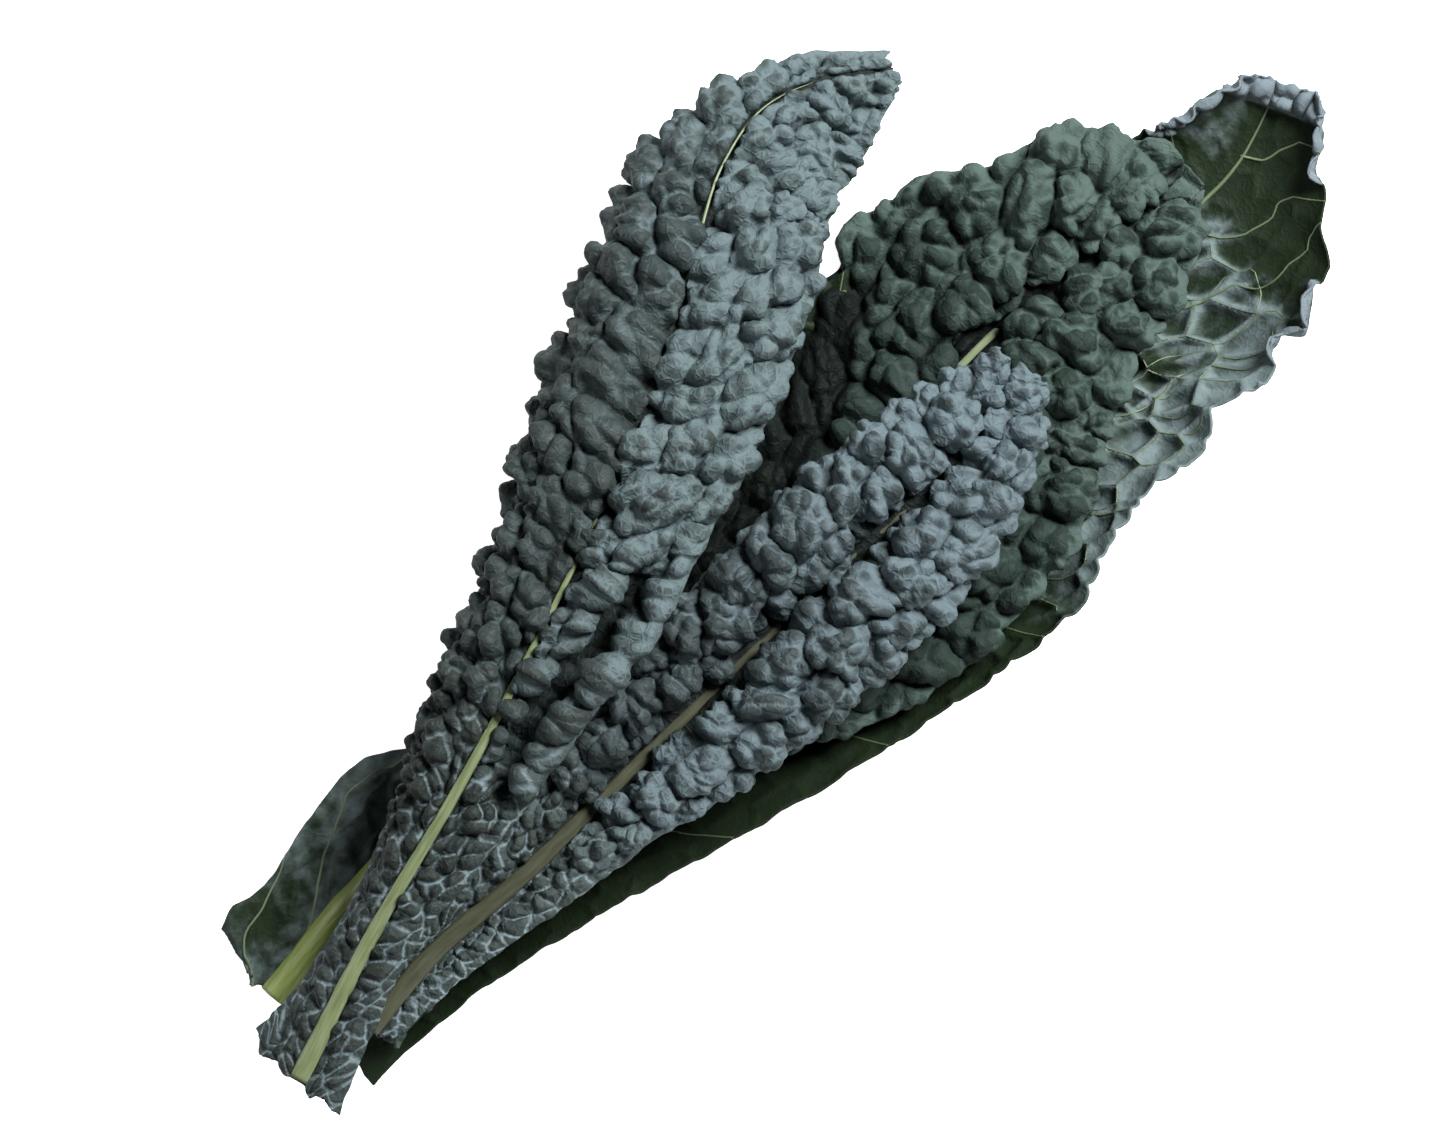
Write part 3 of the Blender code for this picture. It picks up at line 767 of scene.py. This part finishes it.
# The short leaf lies beside it, a narrow arched leaf with its rib in a valley.
shortLeaf = {
    **usualLeaf,
    "name": "shortLeaf",
    "node": "short_leaf",
    "spine": [
        (-6, -166, 25), (-6, -140, 26), (-1, -108, 29), (2, -78, 31), (5, -47, 33),
        (8, -18, 35), (11, 10, 37), (16, 48, 38), (15, 72, 36), (14, 84, 32),
    ],
    "left": [
        (0.00, 5, 25, 20, 10, 0, -10), (0.12, 9, 30, 20, 5, -5, -20),
        (0.27, 13, 35, 20, 0, -20, -45), (0.40, 19, 35, 15, -5, -35, -70),
        (0.55, 27, 40, 15, -10, -45, -85), (0.70, 32, 45, 25, -10, -55, -95),
        (0.85, 29, 35, 15, -15, -55, -95), (0.94, 20, 20, 5, -20, -50, -80),
        (1.00, 10, 0, -10, -20, -35, -50),
    ],
    "right": [
        (0.00, 4, 25, 20, 10, 0, -10), (0.12, 7, 30, 20, 5, -5, -20),
        (0.27, 10, 35, 20, 5, -15, -40), (0.40, 18, 40, 20, 0, -30, -70),
        (0.55, 31, 45, 25, -5, -45, -85), (0.70, 36.5, 45, 25, -10, -50, -90),
        (0.85, 29, 35, 15, -15, -50, -90), (0.94, 19.5, 20, 5, -20, -45, -80),
        (1.00, 10, 0, -10, -20, -35, -50),
    ],
    "rib": [(0.0, 2.8), (0.2, 2.4), (0.45, 1.6), (0.7, 1.1), (1.0, 0.7)],
    "ribSink": [(0.0, -0.2), (0.35, -3.0), (0.5, -4.5), (1.0, -5.0)],
    "columns": 76,
    "growth": [(0.0, 0.55), (0.15, 0.6), (0.35, 0.78), (0.6, 0.92), (1.0, 0.85)],
    "calm": [(0.0, 0.4), (0.2, 0.6), (0.35, 1.0), (1.0, 0.9)],
    "heights": {
        "group": [(0.0, 0.3), (0.25, 0.6), (0.4, 0.95), (1.0, 0.95)],
        "mound": even,
        "knob": [(0.0, 0.5), (0.25, 0.7), (0.4, 1.0), (1.0, 1.0)],
    },
    "valley": [(0.0, 1.0), (0.35, 4.5), (0.8, 5.0), (1.0, 0.0)],
    "valleyReach": 9.0,
    # less bloom on the left half: partly painted shade on the half that slopes away from the key light
    "leftBloom": [(0.0, 0.4), (0.5, 0.1), (0.7, 0.3), (0.85, 0.6), (1.0, 0.7)],
    "rightBloom": [(0.0, 0.8), (0.3, 1.0), (0.45, 0.7), (0.6, 0.3), (0.8, 0.5), (1.0, 0.7)],
    "rightEdge": [(0.0, 0.0), (0.15, 1.5), (0.25, 2.5), (0.42, 3.0), (0.55, 1.0), (0.65, 0.0), (1.0, 0.0)],
    "lean": [(0.0, 0.3), (0.45, 0.4), (0.6, 1.4), (1.0, 1.4)],
    "slant": 0.3,
    "still": 0.5,
    "seed": 23,
    "slot": "short_blade",
    "cutEnd": [(-1.0, 2.0), (0.0, 0.0), (1.0, 2.5)],
}
# Deep is a painted shade: the colour of the creases and the rib valley
shortSkin = {
    "skin": {
        "Top": (0.024, 0.033, 0.035), "Bloom": (0.075, 0.103, 0.114), "Deep": (0.009, 0.013, 0.012),
        "Speck": (0.020, 0.024, 0.020), "Cell": (0.025, 0.034, 0.029), "Net": (0.150, 0.195, 0.215),
        "Speck Amount": 0.65, "Net End": 0.42,
    },
    "grain": 0.6,
    "shine": 0.14,
}
shortRib = {
    "colors": [(0.25, (0.024, 0.028, 0.013)), (0.5, (0.038, 0.041, 0.021)), (0.75, (0.052, 0.056, 0.034))],
    "roughness": 0.5,
}
shortLeaf["shapes"] = [pucker]
buildBlade(shortLeaf, bladeMaterial("paleBlueLeaf", skin, shortSkin))
buildRib(shortLeaf, ribMaterial("oliveRib", shortRib))

# The broad leaf lies under both, darker and greener, with rounder mounds.
broadLeaf = {
    **usualLeaf,
    "name": "broadLeaf",
    "node": "broad_leaf",
    "spine": [
        (-8, -168, 14), (-9, -130, 14), (-8, -90, 14), (-5, -40, 15), (-1, 0, 16),
        (1, 45, 17), (2, 84, 18), (7, 115, 19), (12, 140, 19), (15, 157, 17),
    ],
    "left": [
        (0.00, 9, 15, 12, 10, 0, -10), (0.13, 12, 15, 12, 5, 0, -10),
        (0.27, 20, 20, 10, 0, -5, -15), (0.41, 32, 25, 8, -10, -20, -25),
        (0.53, 41, 25, 5, -15, -25, -30), (0.66, 46, 30, 5, -15, -25, -30),
        (0.77, 51, 30, 5, -15, -20, -30), (0.87, 35, 25, 10, -10, -15, -30),
        (0.95, 28, 15, 5, -5, -15, -30), (1.00, 8, 5, 0, -5, -10, -20),
    ],
    "right": [
        (0.00, 8, 15, 12, 10, 0, -10), (0.13, 10, 15, 12, 5, 0, -10),
        (0.27, 16, 20, 12, 5, 0, -10), (0.41, 34, 20, 15, 5, 0, -15),
        (0.53, 52, 30, 10, -5, 5, -20), (0.66, 56, 30, 10, -5, 5, -25),
        (0.77, 47, 30, 10, -10, 0, -25), (0.87, 30, 25, 10, -5, -10, -25),
        (0.95, 20, 15, 5, -5, -15, -30), (1.00, 5, 5, 0, -5, -10, -20),
    ],
    "rib": [(0.0, 3.2), (0.2, 2.8), (0.45, 2.0), (0.7, 1.2), (1.0, 0.7)],
    "ribSink": [(0.0, -2.0), (0.5, -6.0), (1.0, -6.0)],
    "columns": 84,
    "growth": [(0.0, 0.6), (0.4, 0.95), (1.0, 1.0)],
    "calm": [(0.0, 0.6), (0.35, 1.0), (1.0, 0.9)],
    "heights": {
        "group": [(0.0, 1.0), (1.0, 1.1)],
        "mound": even,
        "knob": [(0.0, 0.8), (1.0, 0.8)],
    },
    "valley": [(0.0, 2.0), (0.5, 5.0), (0.7, 8.0), (0.85, 5.0), (1.0, 0.0)],
    "valleyReach": 15.0,
    # little bloom on the left half beside the long leaf: partly painted shade there
    "leftBloom": [(0.0, 0.3), (0.5, 0.05), (0.70, 0.05), (0.80, 0.25), (0.90, 0.5), (1.0, 0.55)],
    "rightBloom": [(0.0, 0.0), (0.5, -0.1), (0.64, 0.02), (0.75, 0.2), (1.0, 0.4)],
    "lean": [(0.0, 1.0), (1.0, 1.6)],
    "slant": 0.3,
    "still": 0.5,
    "seed": 37,
    "slot": "broad_blade",
    "leftEdge": [
        (0.0, 0.0), (0.66, -1.5), (0.70, -3.0), (0.73, -5.0), (0.745, -6.5), (0.757, -4.0), (0.766, -1.5),
        (0.80, -1.0), (0.824, 5.0), (0.848, 3.5), (0.87, 1.8), (0.90, -0.2), (1.0, 0.0),
    ],
    "flatMargin": 1.5,
    "wander": 1.4,
    "cutEnd": [(-1.0, 1.0), (0.0, 0.0), (1.0, 1.5)],
}
# Deep is a painted shade: the colour of the creases, the rib valley and the pit
broadSkin = {
    "skin": {
        "Top": (0.016, 0.025, 0.021), "Bloom": (0.048, 0.071, 0.063), "Deep": (0.004, 0.006, 0.005),
        "Speck": (0.014, 0.018, 0.013), "Cell": (0.024, 0.034, 0.027), "Net": (0.070, 0.095, 0.085),
        "Speck Amount": 0.2, "Net End": 0.2,
    },
    "grain": 0.5,
    "shine": 0.05,
}
broadRib = {
    "colors": [(0.25, (0.08, 0.10, 0.055)), (0.5, (0.12, 0.15, 0.08)), (0.75, (0.16, 0.19, 0.11))],
    "roughness": 0.5,
}
# the pit: how deep it drops, where it starts across and along, and from where across (the bare rows) its
# shade is painted dark
broadPit = {
    "depth": 11.0, "start": 0.10, "full": 0.34, "low": 0.25, "high": 0.93,
    "bare": [(0.25, 0.06), (0.56, 0.08), (0.62, 0.16), (0.68, 0.30), (0.74, 0.55)],
}


def dropPit(leaf, points, grid, marks):
    # the left half falls away into a pit beside the long leaf, and its shade there is painted into the
    # colour: the shaded mark turns it to the dark Deep colour
    place = grid["place"]
    deep = smoothStep(grid["across"], broadPit["start"], broadPit["full"]) * (grid["side"] < 0)
    deep = deep * smoothStep(place, broadPit["low"], broadPit["low"] + 0.1)
    deep = deep * smoothStep(place, broadPit["high"], broadPit["high"] - 0.15)
    # painted shade: from the bare value across outwards the pit is marked shaded, which paints it dark
    bare = readSteps(broadPit["bare"], place)
    grid["shaded"] = deep * smoothStep(grid["across"], bare, bare + 0.22) * smoothStep(place, 0.78, 0.72)
    lowered = points.copy()
    lowered[..., 2] -= broadPit["depth"] * deep
    return lowered


broadLeaf["shapes"] = [dropPit, pucker]
buildBlade(broadLeaf, bladeMaterial("darkGreenLeaf", skin, broadSkin))
buildRib(broadLeaf, ribMaterial("darkRib", broadRib))

# The cradle leaf holds the rest: its pale-veined underside up, its right half curving up, and a
# curled blistered rim at its tip.
cradleLeaf = {
    **usualLeaf,
    "name": "cradleLeaf",
    "node": "cradle_leaf",
    "face": -1,
    "spine": [
        (-31, -178.5, 4.5), (-32, -147, 3.8), (-28, -100, 2.4), (-18, -50, 1), (-8, 0, 0),
        (2, 50, 1.2), (13, 100, 2.6), (22, 145, 4.5), (23.5, 168, 7), (18, 189, 14),
    ],
    "left": [
        (0.00, 7, 8, 10, 12, 5, -5), (0.02, 17, 8, 12, 12, 8, 0), (0.05, 17, 8, 12, 12, 8, 0),
        (0.13, 20, 6, 10, 10, 8, 0), (0.17, 20, 5, 8, 10, 8, 0), (0.21, 18, 5, 8, 10, 10, 5),
        (0.32, 27, 2, 4, 6, 10, 15), (0.48, 40, 0, 2, 4, 8, 15),
        (0.62, 44, 0, 2, 4, 8, 15), (0.77, 42, 0, 2, 6, 10, 15), (0.88, 27, 2, 5, 10, 20, 35),
        (0.94, 22, 5, 10, 20, 40, 70), (0.97, 19, 5, 10, 25, 45, 75), (1.00, 12, 5, 10, 25, 50, 80),
    ],
    "right": [
        (0.00, 34, 0, 3, 8, 18, 28), (0.10, 40, 0, 3, 10, 22, 35), (0.27, 53, 0, 3, 12, 28, 50),
        (0.48, 67, 0, 3, 12, 30, 60), (0.62, 70, 0, 3, 14, 32, 65), (0.77, 59, 0, 5, 18, 35, 65),
        (0.88, 49, 5, 10, 20, 35, 60), (0.95, 30, 5, 15, 25, 35, 55), (1.00, 21, 5, 10, 20, 40, 60),
    ],
    "rib": [(0.0, 5.2), (0.15, 4.6), (0.35, 3.4), (0.6, 2.4), (0.85, 1.4), (1.0, 0.8)],
    "ribEnd": 0.90,
    "ribSink": [(0.0, 0.0), (1.0, 0.0)],
    "ribSlim": [(0.0, 1.0), (0.8, 0.9), (0.88, 0.5), (0.95, 0.4), (1.0, 0.3)],
    "columns": 80,
    "growth": even,
    "slot": "cradle_blade",
    "seed": 51,
    "lowest": 0.45,
    "wander": 0.35,
    "endReach": 12.0,
    "cutEnd": [
        (-1.0, 3.5), (-0.85, 0.3), (-0.5, -1.5), (-0.2, -0.5), (0.0, 0.0), (0.4, 0.0), (1.0, -1.5),
    ],
    "tipEnd": [
        (-1.0, 1.0), (-0.6, 3.0), (-0.3, 2.0), (0.2, 3.5), (0.6, 5.0), (0.9, 5.0), (1.0, 2.5),
    ],
    "rightEdge": [
        (0.0, -3.5), (0.08, -1.8), (0.2, -1.0), (0.5, -0.9), (0.58, -0.5), (0.60, 0.5), (0.65, 0.0),
        (0.69, -5.5), (0.74, -7.0), (0.765, -2.5), (0.79, -2.5), (0.806, -7.5), (0.815, -9.0), (0.83, -4.5),
        (0.845, -2.0), (0.875, -4.0), (0.886, 4.0), (0.90, 4.3), (0.912, 2.0), (0.925, 3.8), (0.937, -2.0),
        (0.95, -2.5), (0.962, -4.8), (0.98, -3.3), (1.0, -3.0),
    ],
    # side veins as places and distances from the rib
    "rightVeins": [
        [(0.16, 0.0), (0.22, 0.3), (0.30, 0.7), (0.34, 1.0)],
        [(0.30, 0.0), (0.37, 0.35), (0.44, 0.7), (0.47, 1.0)],
        [(0.43, 0.0), (0.51, 0.35), (0.58, 0.7), (0.61, 1.0)],
        [(0.53, 0.0), (0.61, 0.35), (0.68, 0.65), (0.72, 1.0)],
        [(0.62, 0.0), (0.70, 0.35), (0.76, 0.55), (0.80, 0.60), (0.83, 0.70), (0.86, 0.95)],
        [(0.76, 0.0), (0.82, 0.28), (0.84, 0.33), (0.87, 0.44), (0.90, 0.61), (0.93, 0.80), (0.94, 1.0)],
        [
            (0.87, 0.0), (0.885, 0.11), (0.892, 0.20), (0.908, 0.33), (0.934, 0.46), (0.942, 0.61),
            (0.95, 1.0),
        ],
        [(0.945, 0.0), (0.95, 0.21), (0.96, 0.34), (0.972, 0.56), (0.975, 1.0)],
    ],
    "tipVein": [
        (0.80, 0.0, 1.1), (0.88, 0.0, 0.8), (0.92, 0.01, 0.6), (0.955, 0.02, 0.42), (0.985, 0.04, 0.3),
    ],
    "leftVeins": [
        [(0.0, 0.45), (0.012, 0.70), (0.036, 0.68), (0.060, 0.88), (0.085, 1.0)],
        [
            (0.044, 0.0), (0.060, 0.11), (0.082, 0.36), (0.102, 0.56), (0.144, 0.82), (0.180, 0.74),
            (0.21, 1.0),
        ],
        [(0.16, 0.0), (0.22, 0.4), (0.28, 1.0)],
        [(0.28, 0.0), (0.36, 0.5), (0.41, 1.0)],
        [(0.40, 0.0), (0.48, 0.5), (0.54, 1.0)],
        [(0.52, 0.0), (0.60, 0.5), (0.66, 1.0)],
        [(0.64, 0.0), (0.72, 0.5), (0.78, 1.0)],
        [(0.76, 0.0), (0.82, 0.5), (0.87, 1.0)],
        [(0.87, 0.0), (0.91, 0.5), (0.94, 1.0)],
    ],
    "hollow": {"cell": 10.5, "fold": 3.0, "depth": 4.0, "crown": 3.2, "slant": 0.5, "jitter": 0.8},
    "hollowPlaces": [
        (0.0, 0.3), (0.2, 0.35), (0.45, 0.25), (0.58, 0.7), (0.70, 1.0), (0.84, 1.0), (0.90, 0.2),
        (1.0, 0.1),
    ],
    "leftEdge": [
        (0.0, -1.0), (0.02, 0.5), (0.036, 1.6), (0.06, -0.6), (0.094, -0.8), (0.13, 0.5), (0.15, 1.3),
        (0.17, 0.8), (0.186, -1.6), (0.20, -4.5), (0.22, -6.0), (0.26, 0.0), (0.90, 0.0), (0.94, 6.0),
        (0.975, 5.0), (1.0, 2.0),
    ],
    "rimBeads": {"length": 6.0, "height": 3.6, "breadth": 7.0, "deep": 5.0},
}
cradleSkin = {
    "skin": {
        "Top": (0.009, 0.0155, 0.0075), "Bloom": (0.100, 0.132, 0.134), "Deep": (0.034, 0.048, 0.038),
        "Speck": (0.013, 0.020, 0.013), "Cell": (0.013, 0.020, 0.013), "Net": (0.100, 0.123, 0.140),
        "Speck Amount": 0.0, "Net End": 0.001,
    },
    "grain": 0.3,
    "shine": 0.07,
}
cradleRib = {
    "colors": [(0.25, (0.105, 0.138, 0.028)), (0.5, (0.165, 0.21, 0.055)), (0.75, (0.23, 0.27, 0.10))],
    "roughness": 0.45,
}
cradleVein = {
    "colors": [(0.25, (0.045, 0.068, 0.032)), (0.5, (0.075, 0.105, 0.055)), (0.75, (0.11, 0.14, 0.085))],
    "roughness": 0.5,
}


def sideVeinsOf(leaf, half):
    return leaf["leftVeins"] if half < 0 else leaf["rightVeins"]


def veinMiddles(leaf, half):
    # the middles of the cells between the small veins, in millimetres along and out
    look = leaf["hollow"]
    spread = np.random.default_rng(leaf["seed"] + half).random((60, 16, 2)) - 0.5
    i, j = np.meshgrid(np.arange(60), np.arange(16), indexing="ij")
    along = (i - 6 + look["jitter"] * spread[..., 0]) * look["cell"]
    out = (j + 0.5 * (i % 2) - 0.5 + look["jitter"] * spread[..., 1]) * look["cell"] * 0.9
    return np.column_stack([along.ravel(), out.ravel()])


def sinkHollows(leaf, points, grid, marks):
    # the blade sags away between its veins on this face
    look = leaf["hollow"]
    along = grid["place"] * grid["length"]
    out = grid["across"] * grid["width"]
    near = np.full(along.shape, 1e9)
    for half in (-1, 1):
        on = grid["side"][0] == half
        s, w = along[:, on], out[:, on]
        q = s - look["slant"] * w
        middles = veinMiddles(leaf, half)
        far = np.full((2, *q.shape), 1e9)
        for middle in middles:
            if middle[1] > w.max() + 20:
                continue
            d = np.hypot(q - middle[0], w - middle[1])
            second = np.maximum(np.minimum(far[0], d), np.minimum(far[1], np.maximum(far[0], d)))
            far[0], far[1] = np.minimum(far[0], d), second
        border = (far[1] - far[0]) / 2 * 1.15
        width = grid["width"][:, on]
        for path in sideVeinsOf(leaf, half):
            path = np.array(path)
            wide = np.interp(path[:, 0], grid["place"][:, 0], width[:, 0])
            line = np.column_stack([path[:, 0] * grid["length"], path[:, 1] * wide])
            border = np.minimum(border, toLine(s, w, line))
        near[:, on] = border
    place = grid["place"]
    depth = dome(near, look["crown"], 0.9)
    amount = readSteps(leaf["hollowPlaces"], place) * smoothStep(out, 0.0, 4.0)
    amount = amount * (1 - 0.45 * smoothStep(grid["across"], 0.6, 0.95))
    wave = drift(along / 13, grid["side"] * out / 10, leaf["seed"] + 3)
    right = grid["side"] > 0
    marks["rise"] = 1 - 0.3 * depth
    for name in ("group", "mound", "knob"):
        marks[name] = np.full(near.shape, 0.7)
    marks["edge"] = near
    patch = smoothStep(drift(along / 12, out / 9, 7) + 0.5 * drift(along / 4, out / 4, 8), -1.2, 0.1)
    blistered = smoothStep(place, 0.60, 0.72) * smoothStep(place, 0.92, 0.88) * patch * (1 - 0.8 * depth)
    margin = smoothStep(grid["across"], 0.45, 0.75) * smoothStep(place, 0.58, 0.70)
    margin = margin * smoothStep(place, 0.92, 0.86)
    tip = np.where(right, smoothStep(out, 4.0, 1.0) * 0.3, smoothStep(out, 2.0, 7.0))
    tip = smoothStep(place, 0.91, 0.95) * tip * smoothStep(drift(along / 15, out / 12, 12), -0.9, 0.5)
    lobe = 0.22 + 0.2 * drift(along / 16, out / 12, 15) + 0.2 * smoothStep(place, 0.12, 0.2)
    lobe = lobe * (1 - smoothStep(place, 0.28, 0.4))
    bloom = np.where(right, np.maximum(0.8 * blistered, 0.45 * margin), lobe)
    bloom = np.maximum(bloom, 0.31 * tip)
    marks["bloom"] = np.clip(0.04 + 0.95 * bloom, 0, 1)
    fold = look["fold"] * drift(along / 10 + 0.5, out / 25, leaf["seed"] + 5)
    fold = fold * smoothStep(place, 0.30, 0.18) * ~right * smoothStep(out, 2.0, 12.0)
    lift = -look["depth"] * amount * depth + 1.6 * wave * np.clip(amount, 0.3, 1) + fold
    return points + softNormals(points, 4) * lift[..., None]


def curlRim(leaf, points, grid, marks):
    # round blisters along the tip's curled rim, and short curled bits down its right margin
    look = leaf["rimBeads"]
    place, side = grid["place"], grid["side"]
    toTip = (1 - place) * grid["length"]
    toSide = (1 - grid["across"]) * grid["width"]
    leftRim = toSide + 30 * smoothStep(place, 0.92, 0.88)
    bits = smoothStep(drift(toTip / 6, place * 0, leaf["seed"] + 32), 0.1, -0.3)
    rightRim = 2.2 * toSide + 30 * np.maximum(smoothStep(place, 0.86, 0.80), bits)
    toSide = np.where(side < 0, leftRim, rightRim)
    edge = np.minimum(toTip, toSide)
    run = np.where(toTip < toSide, grid["across"] * side * grid["width"], toTip + 50)
    band = smoothStep(edge, look["breadth"], look["breadth"] * 0.7)
    field = {"jitter": (0.5, 0.5), "crown": 0.48, "round": 0.75, "uneven": 0.2}
    cells = (run / look["length"], edge / look["deep"] + 0.4)
    lift, _, number = cellField(*cells, leaf["seed"] + 31, field)
    marks["rim"] = band
    marks["bloom"] = np.maximum(marks["bloom"], band)
    for name in ("mound", "knob"):
        marks[name] = np.where(band > 0.3, lift, marks[name])
    marks["rise"] = np.where(band > 0.3, 0.2 + 0.8 * lift, marks["rise"])
    raised = band * (1.0 + look["height"] * lift * (0.6 + 0.6 * number))
    return blur(points + softNormals(points, 4) * raised[..., None], 1)


def veinLines(leaf):
    # side veins, and the small veins between the cells' middles
    grid, look = leaf["grid"], leaf["hollow"]
    lines = [(1, leaf["tipVein"])]
    for half in (-1, 1):
        for path in sideVeinsOf(leaf, half):
            thick = np.linspace(0.42, 0.24, len(path))
            lines.append((half, [(place, across, t) for (place, across), t in zip(path, thick)]))
        middles = veinMiddles(leaf, half)
        points, _, faces, _, _, _ = delaunay_2d_cdt([Vector(m) for m in middles], [], [], 0, 1e-6)
        points = np.array([tuple(p) for p in points])
        hubs, shared = [], {}
        for number, face in enumerate(faces):
            a, b, c = points[list(face)]
            d = 2 * ((b - a)[0] * (c - a)[1] - (b - a)[1] * (c - a)[0])
            bb, cc = ((b - a) ** 2).sum(), ((c - a) ** 2).sum()
            hubU = (c - a)[1] * bb - (b - a)[1] * cc
            hubV = (b - a)[0] * cc - (c - a)[0] * bb
            hubs.append(a + np.array([hubU, hubV]) / d)
            for i in range(3):
                key = tuple(sorted((face[i], face[(i + 1) % 3])))
                shared.setdefault(key, []).append(number)
        column = 0 if half < 0 else -1
        widths = grid["width"][:, column]
        for pair in shared.values():
            if len(pair) != 2:
                continue
            ends = [hubs[k] for k in pair]
            path = []
            for q, out in ends:
                place = (q + look["slant"] * out) / grid["length"]
                wide = np.interp(place, grid["place"][:, 0], widths)
                path.append((place, out / wide))
            inside = all(0.62 < p < 0.90 and 0.03 < a < 0.97 for p, a in path)
            ends = [(place * usualLength, across * usualWidth) for place, across in path]
            span = math.dist(*ends)
            if inside and 1.0 < span < 22.0:
                lines.append((half, [(p, a, 0.23) for p, a in path]))
    return lines


cradleLeaf["shapes"] = [sinkHollows, curlRim]
buildBlade(cradleLeaf, bladeMaterial("veinedLeaf", skin, cradleSkin))
buildRib(cradleLeaf, ribMaterial("wideGreenRib", cradleRib))
buildVeins(cradleLeaf, veinLines(cradleLeaf), ribMaterial("paleVein", cradleVein))

# A pale table, a large soft light from the upper right of the picture with weak ones from the
# left and from below right, and a camera straight above.
studio = {
    "eye": (5.40, -10.38, 1200.0),
    "turn": 40.0,
    "lens": 108.3,
    "table": 3.0,
    "tableGlow": 0.95,
    "sky": 0.04,
    "lamps": {
        "keyLight": {"turn": 44.0, "height": 46.0, "far": 1.4, "size": 0.65, "power": 59.0},
        "fillLight": {"turn": 165.0, "height": 22.0, "far": 1.4, "size": 1.2, "power": 8.0},
        "sideLight": {"turn": -70.0, "height": 22.0, "far": 1.4, "size": 1.2, "power": 8.0},
    },
}


def buildTable():
    bm = bmesh.new()
    bmesh.ops.create_grid(bm, x_segments=1, y_segments=1, size=studio["table"])
    mesh = bpy.data.meshes.new("table")
    bm.to_mesh(mesh)
    bm.free()
    table = addThing("table", mesh)
    paint, nodes, links, shader = startMaterial("tablePaint")
    shader.inputs["Base Color"].default_value = (0.88, 0.88, 0.88, 1)
    shader.inputs["Roughness"].default_value = 0.9
    shader.inputs["Emission Color"].default_value = (1, 1, 1, 1)
    seen = nodes.new("ShaderNodeLightPath")
    glow = nodes.new("ShaderNodeMath")
    glow.operation = "MULTIPLY"
    glow.inputs[1].default_value = studio["tableGlow"]
    links.new(seen.outputs["Is Camera Ray"], glow.inputs[0])
    links.new(glow.outputs[0], shader.inputs["Emission Strength"])
    mesh.materials.append(paint)


def addCamera():
    lens = bpy.data.cameras.new("camera")
    lens.lens = studio["lens"]
    lens.sensor_width = 36
    camera = addThing("camera", lens)
    camera.location = [v * mm for v in studio["eye"]]
    camera.rotation_euler = (0, 0, math.radians(studio["turn"]))
    bpy.context.scene.camera = camera


def addLights():
    world = bpy.data.worlds.new("studioSky")
    world.use_nodes = True
    world.node_tree.nodes["Background"].inputs["Color"].default_value = (1, 1, 1, 1)
    world.node_tree.nodes["Background"].inputs["Strength"].default_value = studio["sky"]
    bpy.context.scene.world = world
    for name, look in studio["lamps"].items():
        turn = math.radians(look["turn"] + studio["turn"])
        height = math.radians(look["height"])
        level = math.cos(height)
        way = Vector((math.cos(turn) * level, math.sin(turn) * level, math.sin(height)))
        lamp = bpy.data.lights.new(name, "AREA")
        lamp.shape = "DISK"
        lamp.size = look["size"]
        lamp.energy = look["power"]
        holder = addThing(name, lamp)
        holder.location = way * look["far"]
        holder.rotation_euler = way.to_track_quat("Z", "Y").to_euler()


buildTable()
addCamera()
addLights()
bpy.context.scene.view_settings.view_transform = "Standard"
print("studio made")
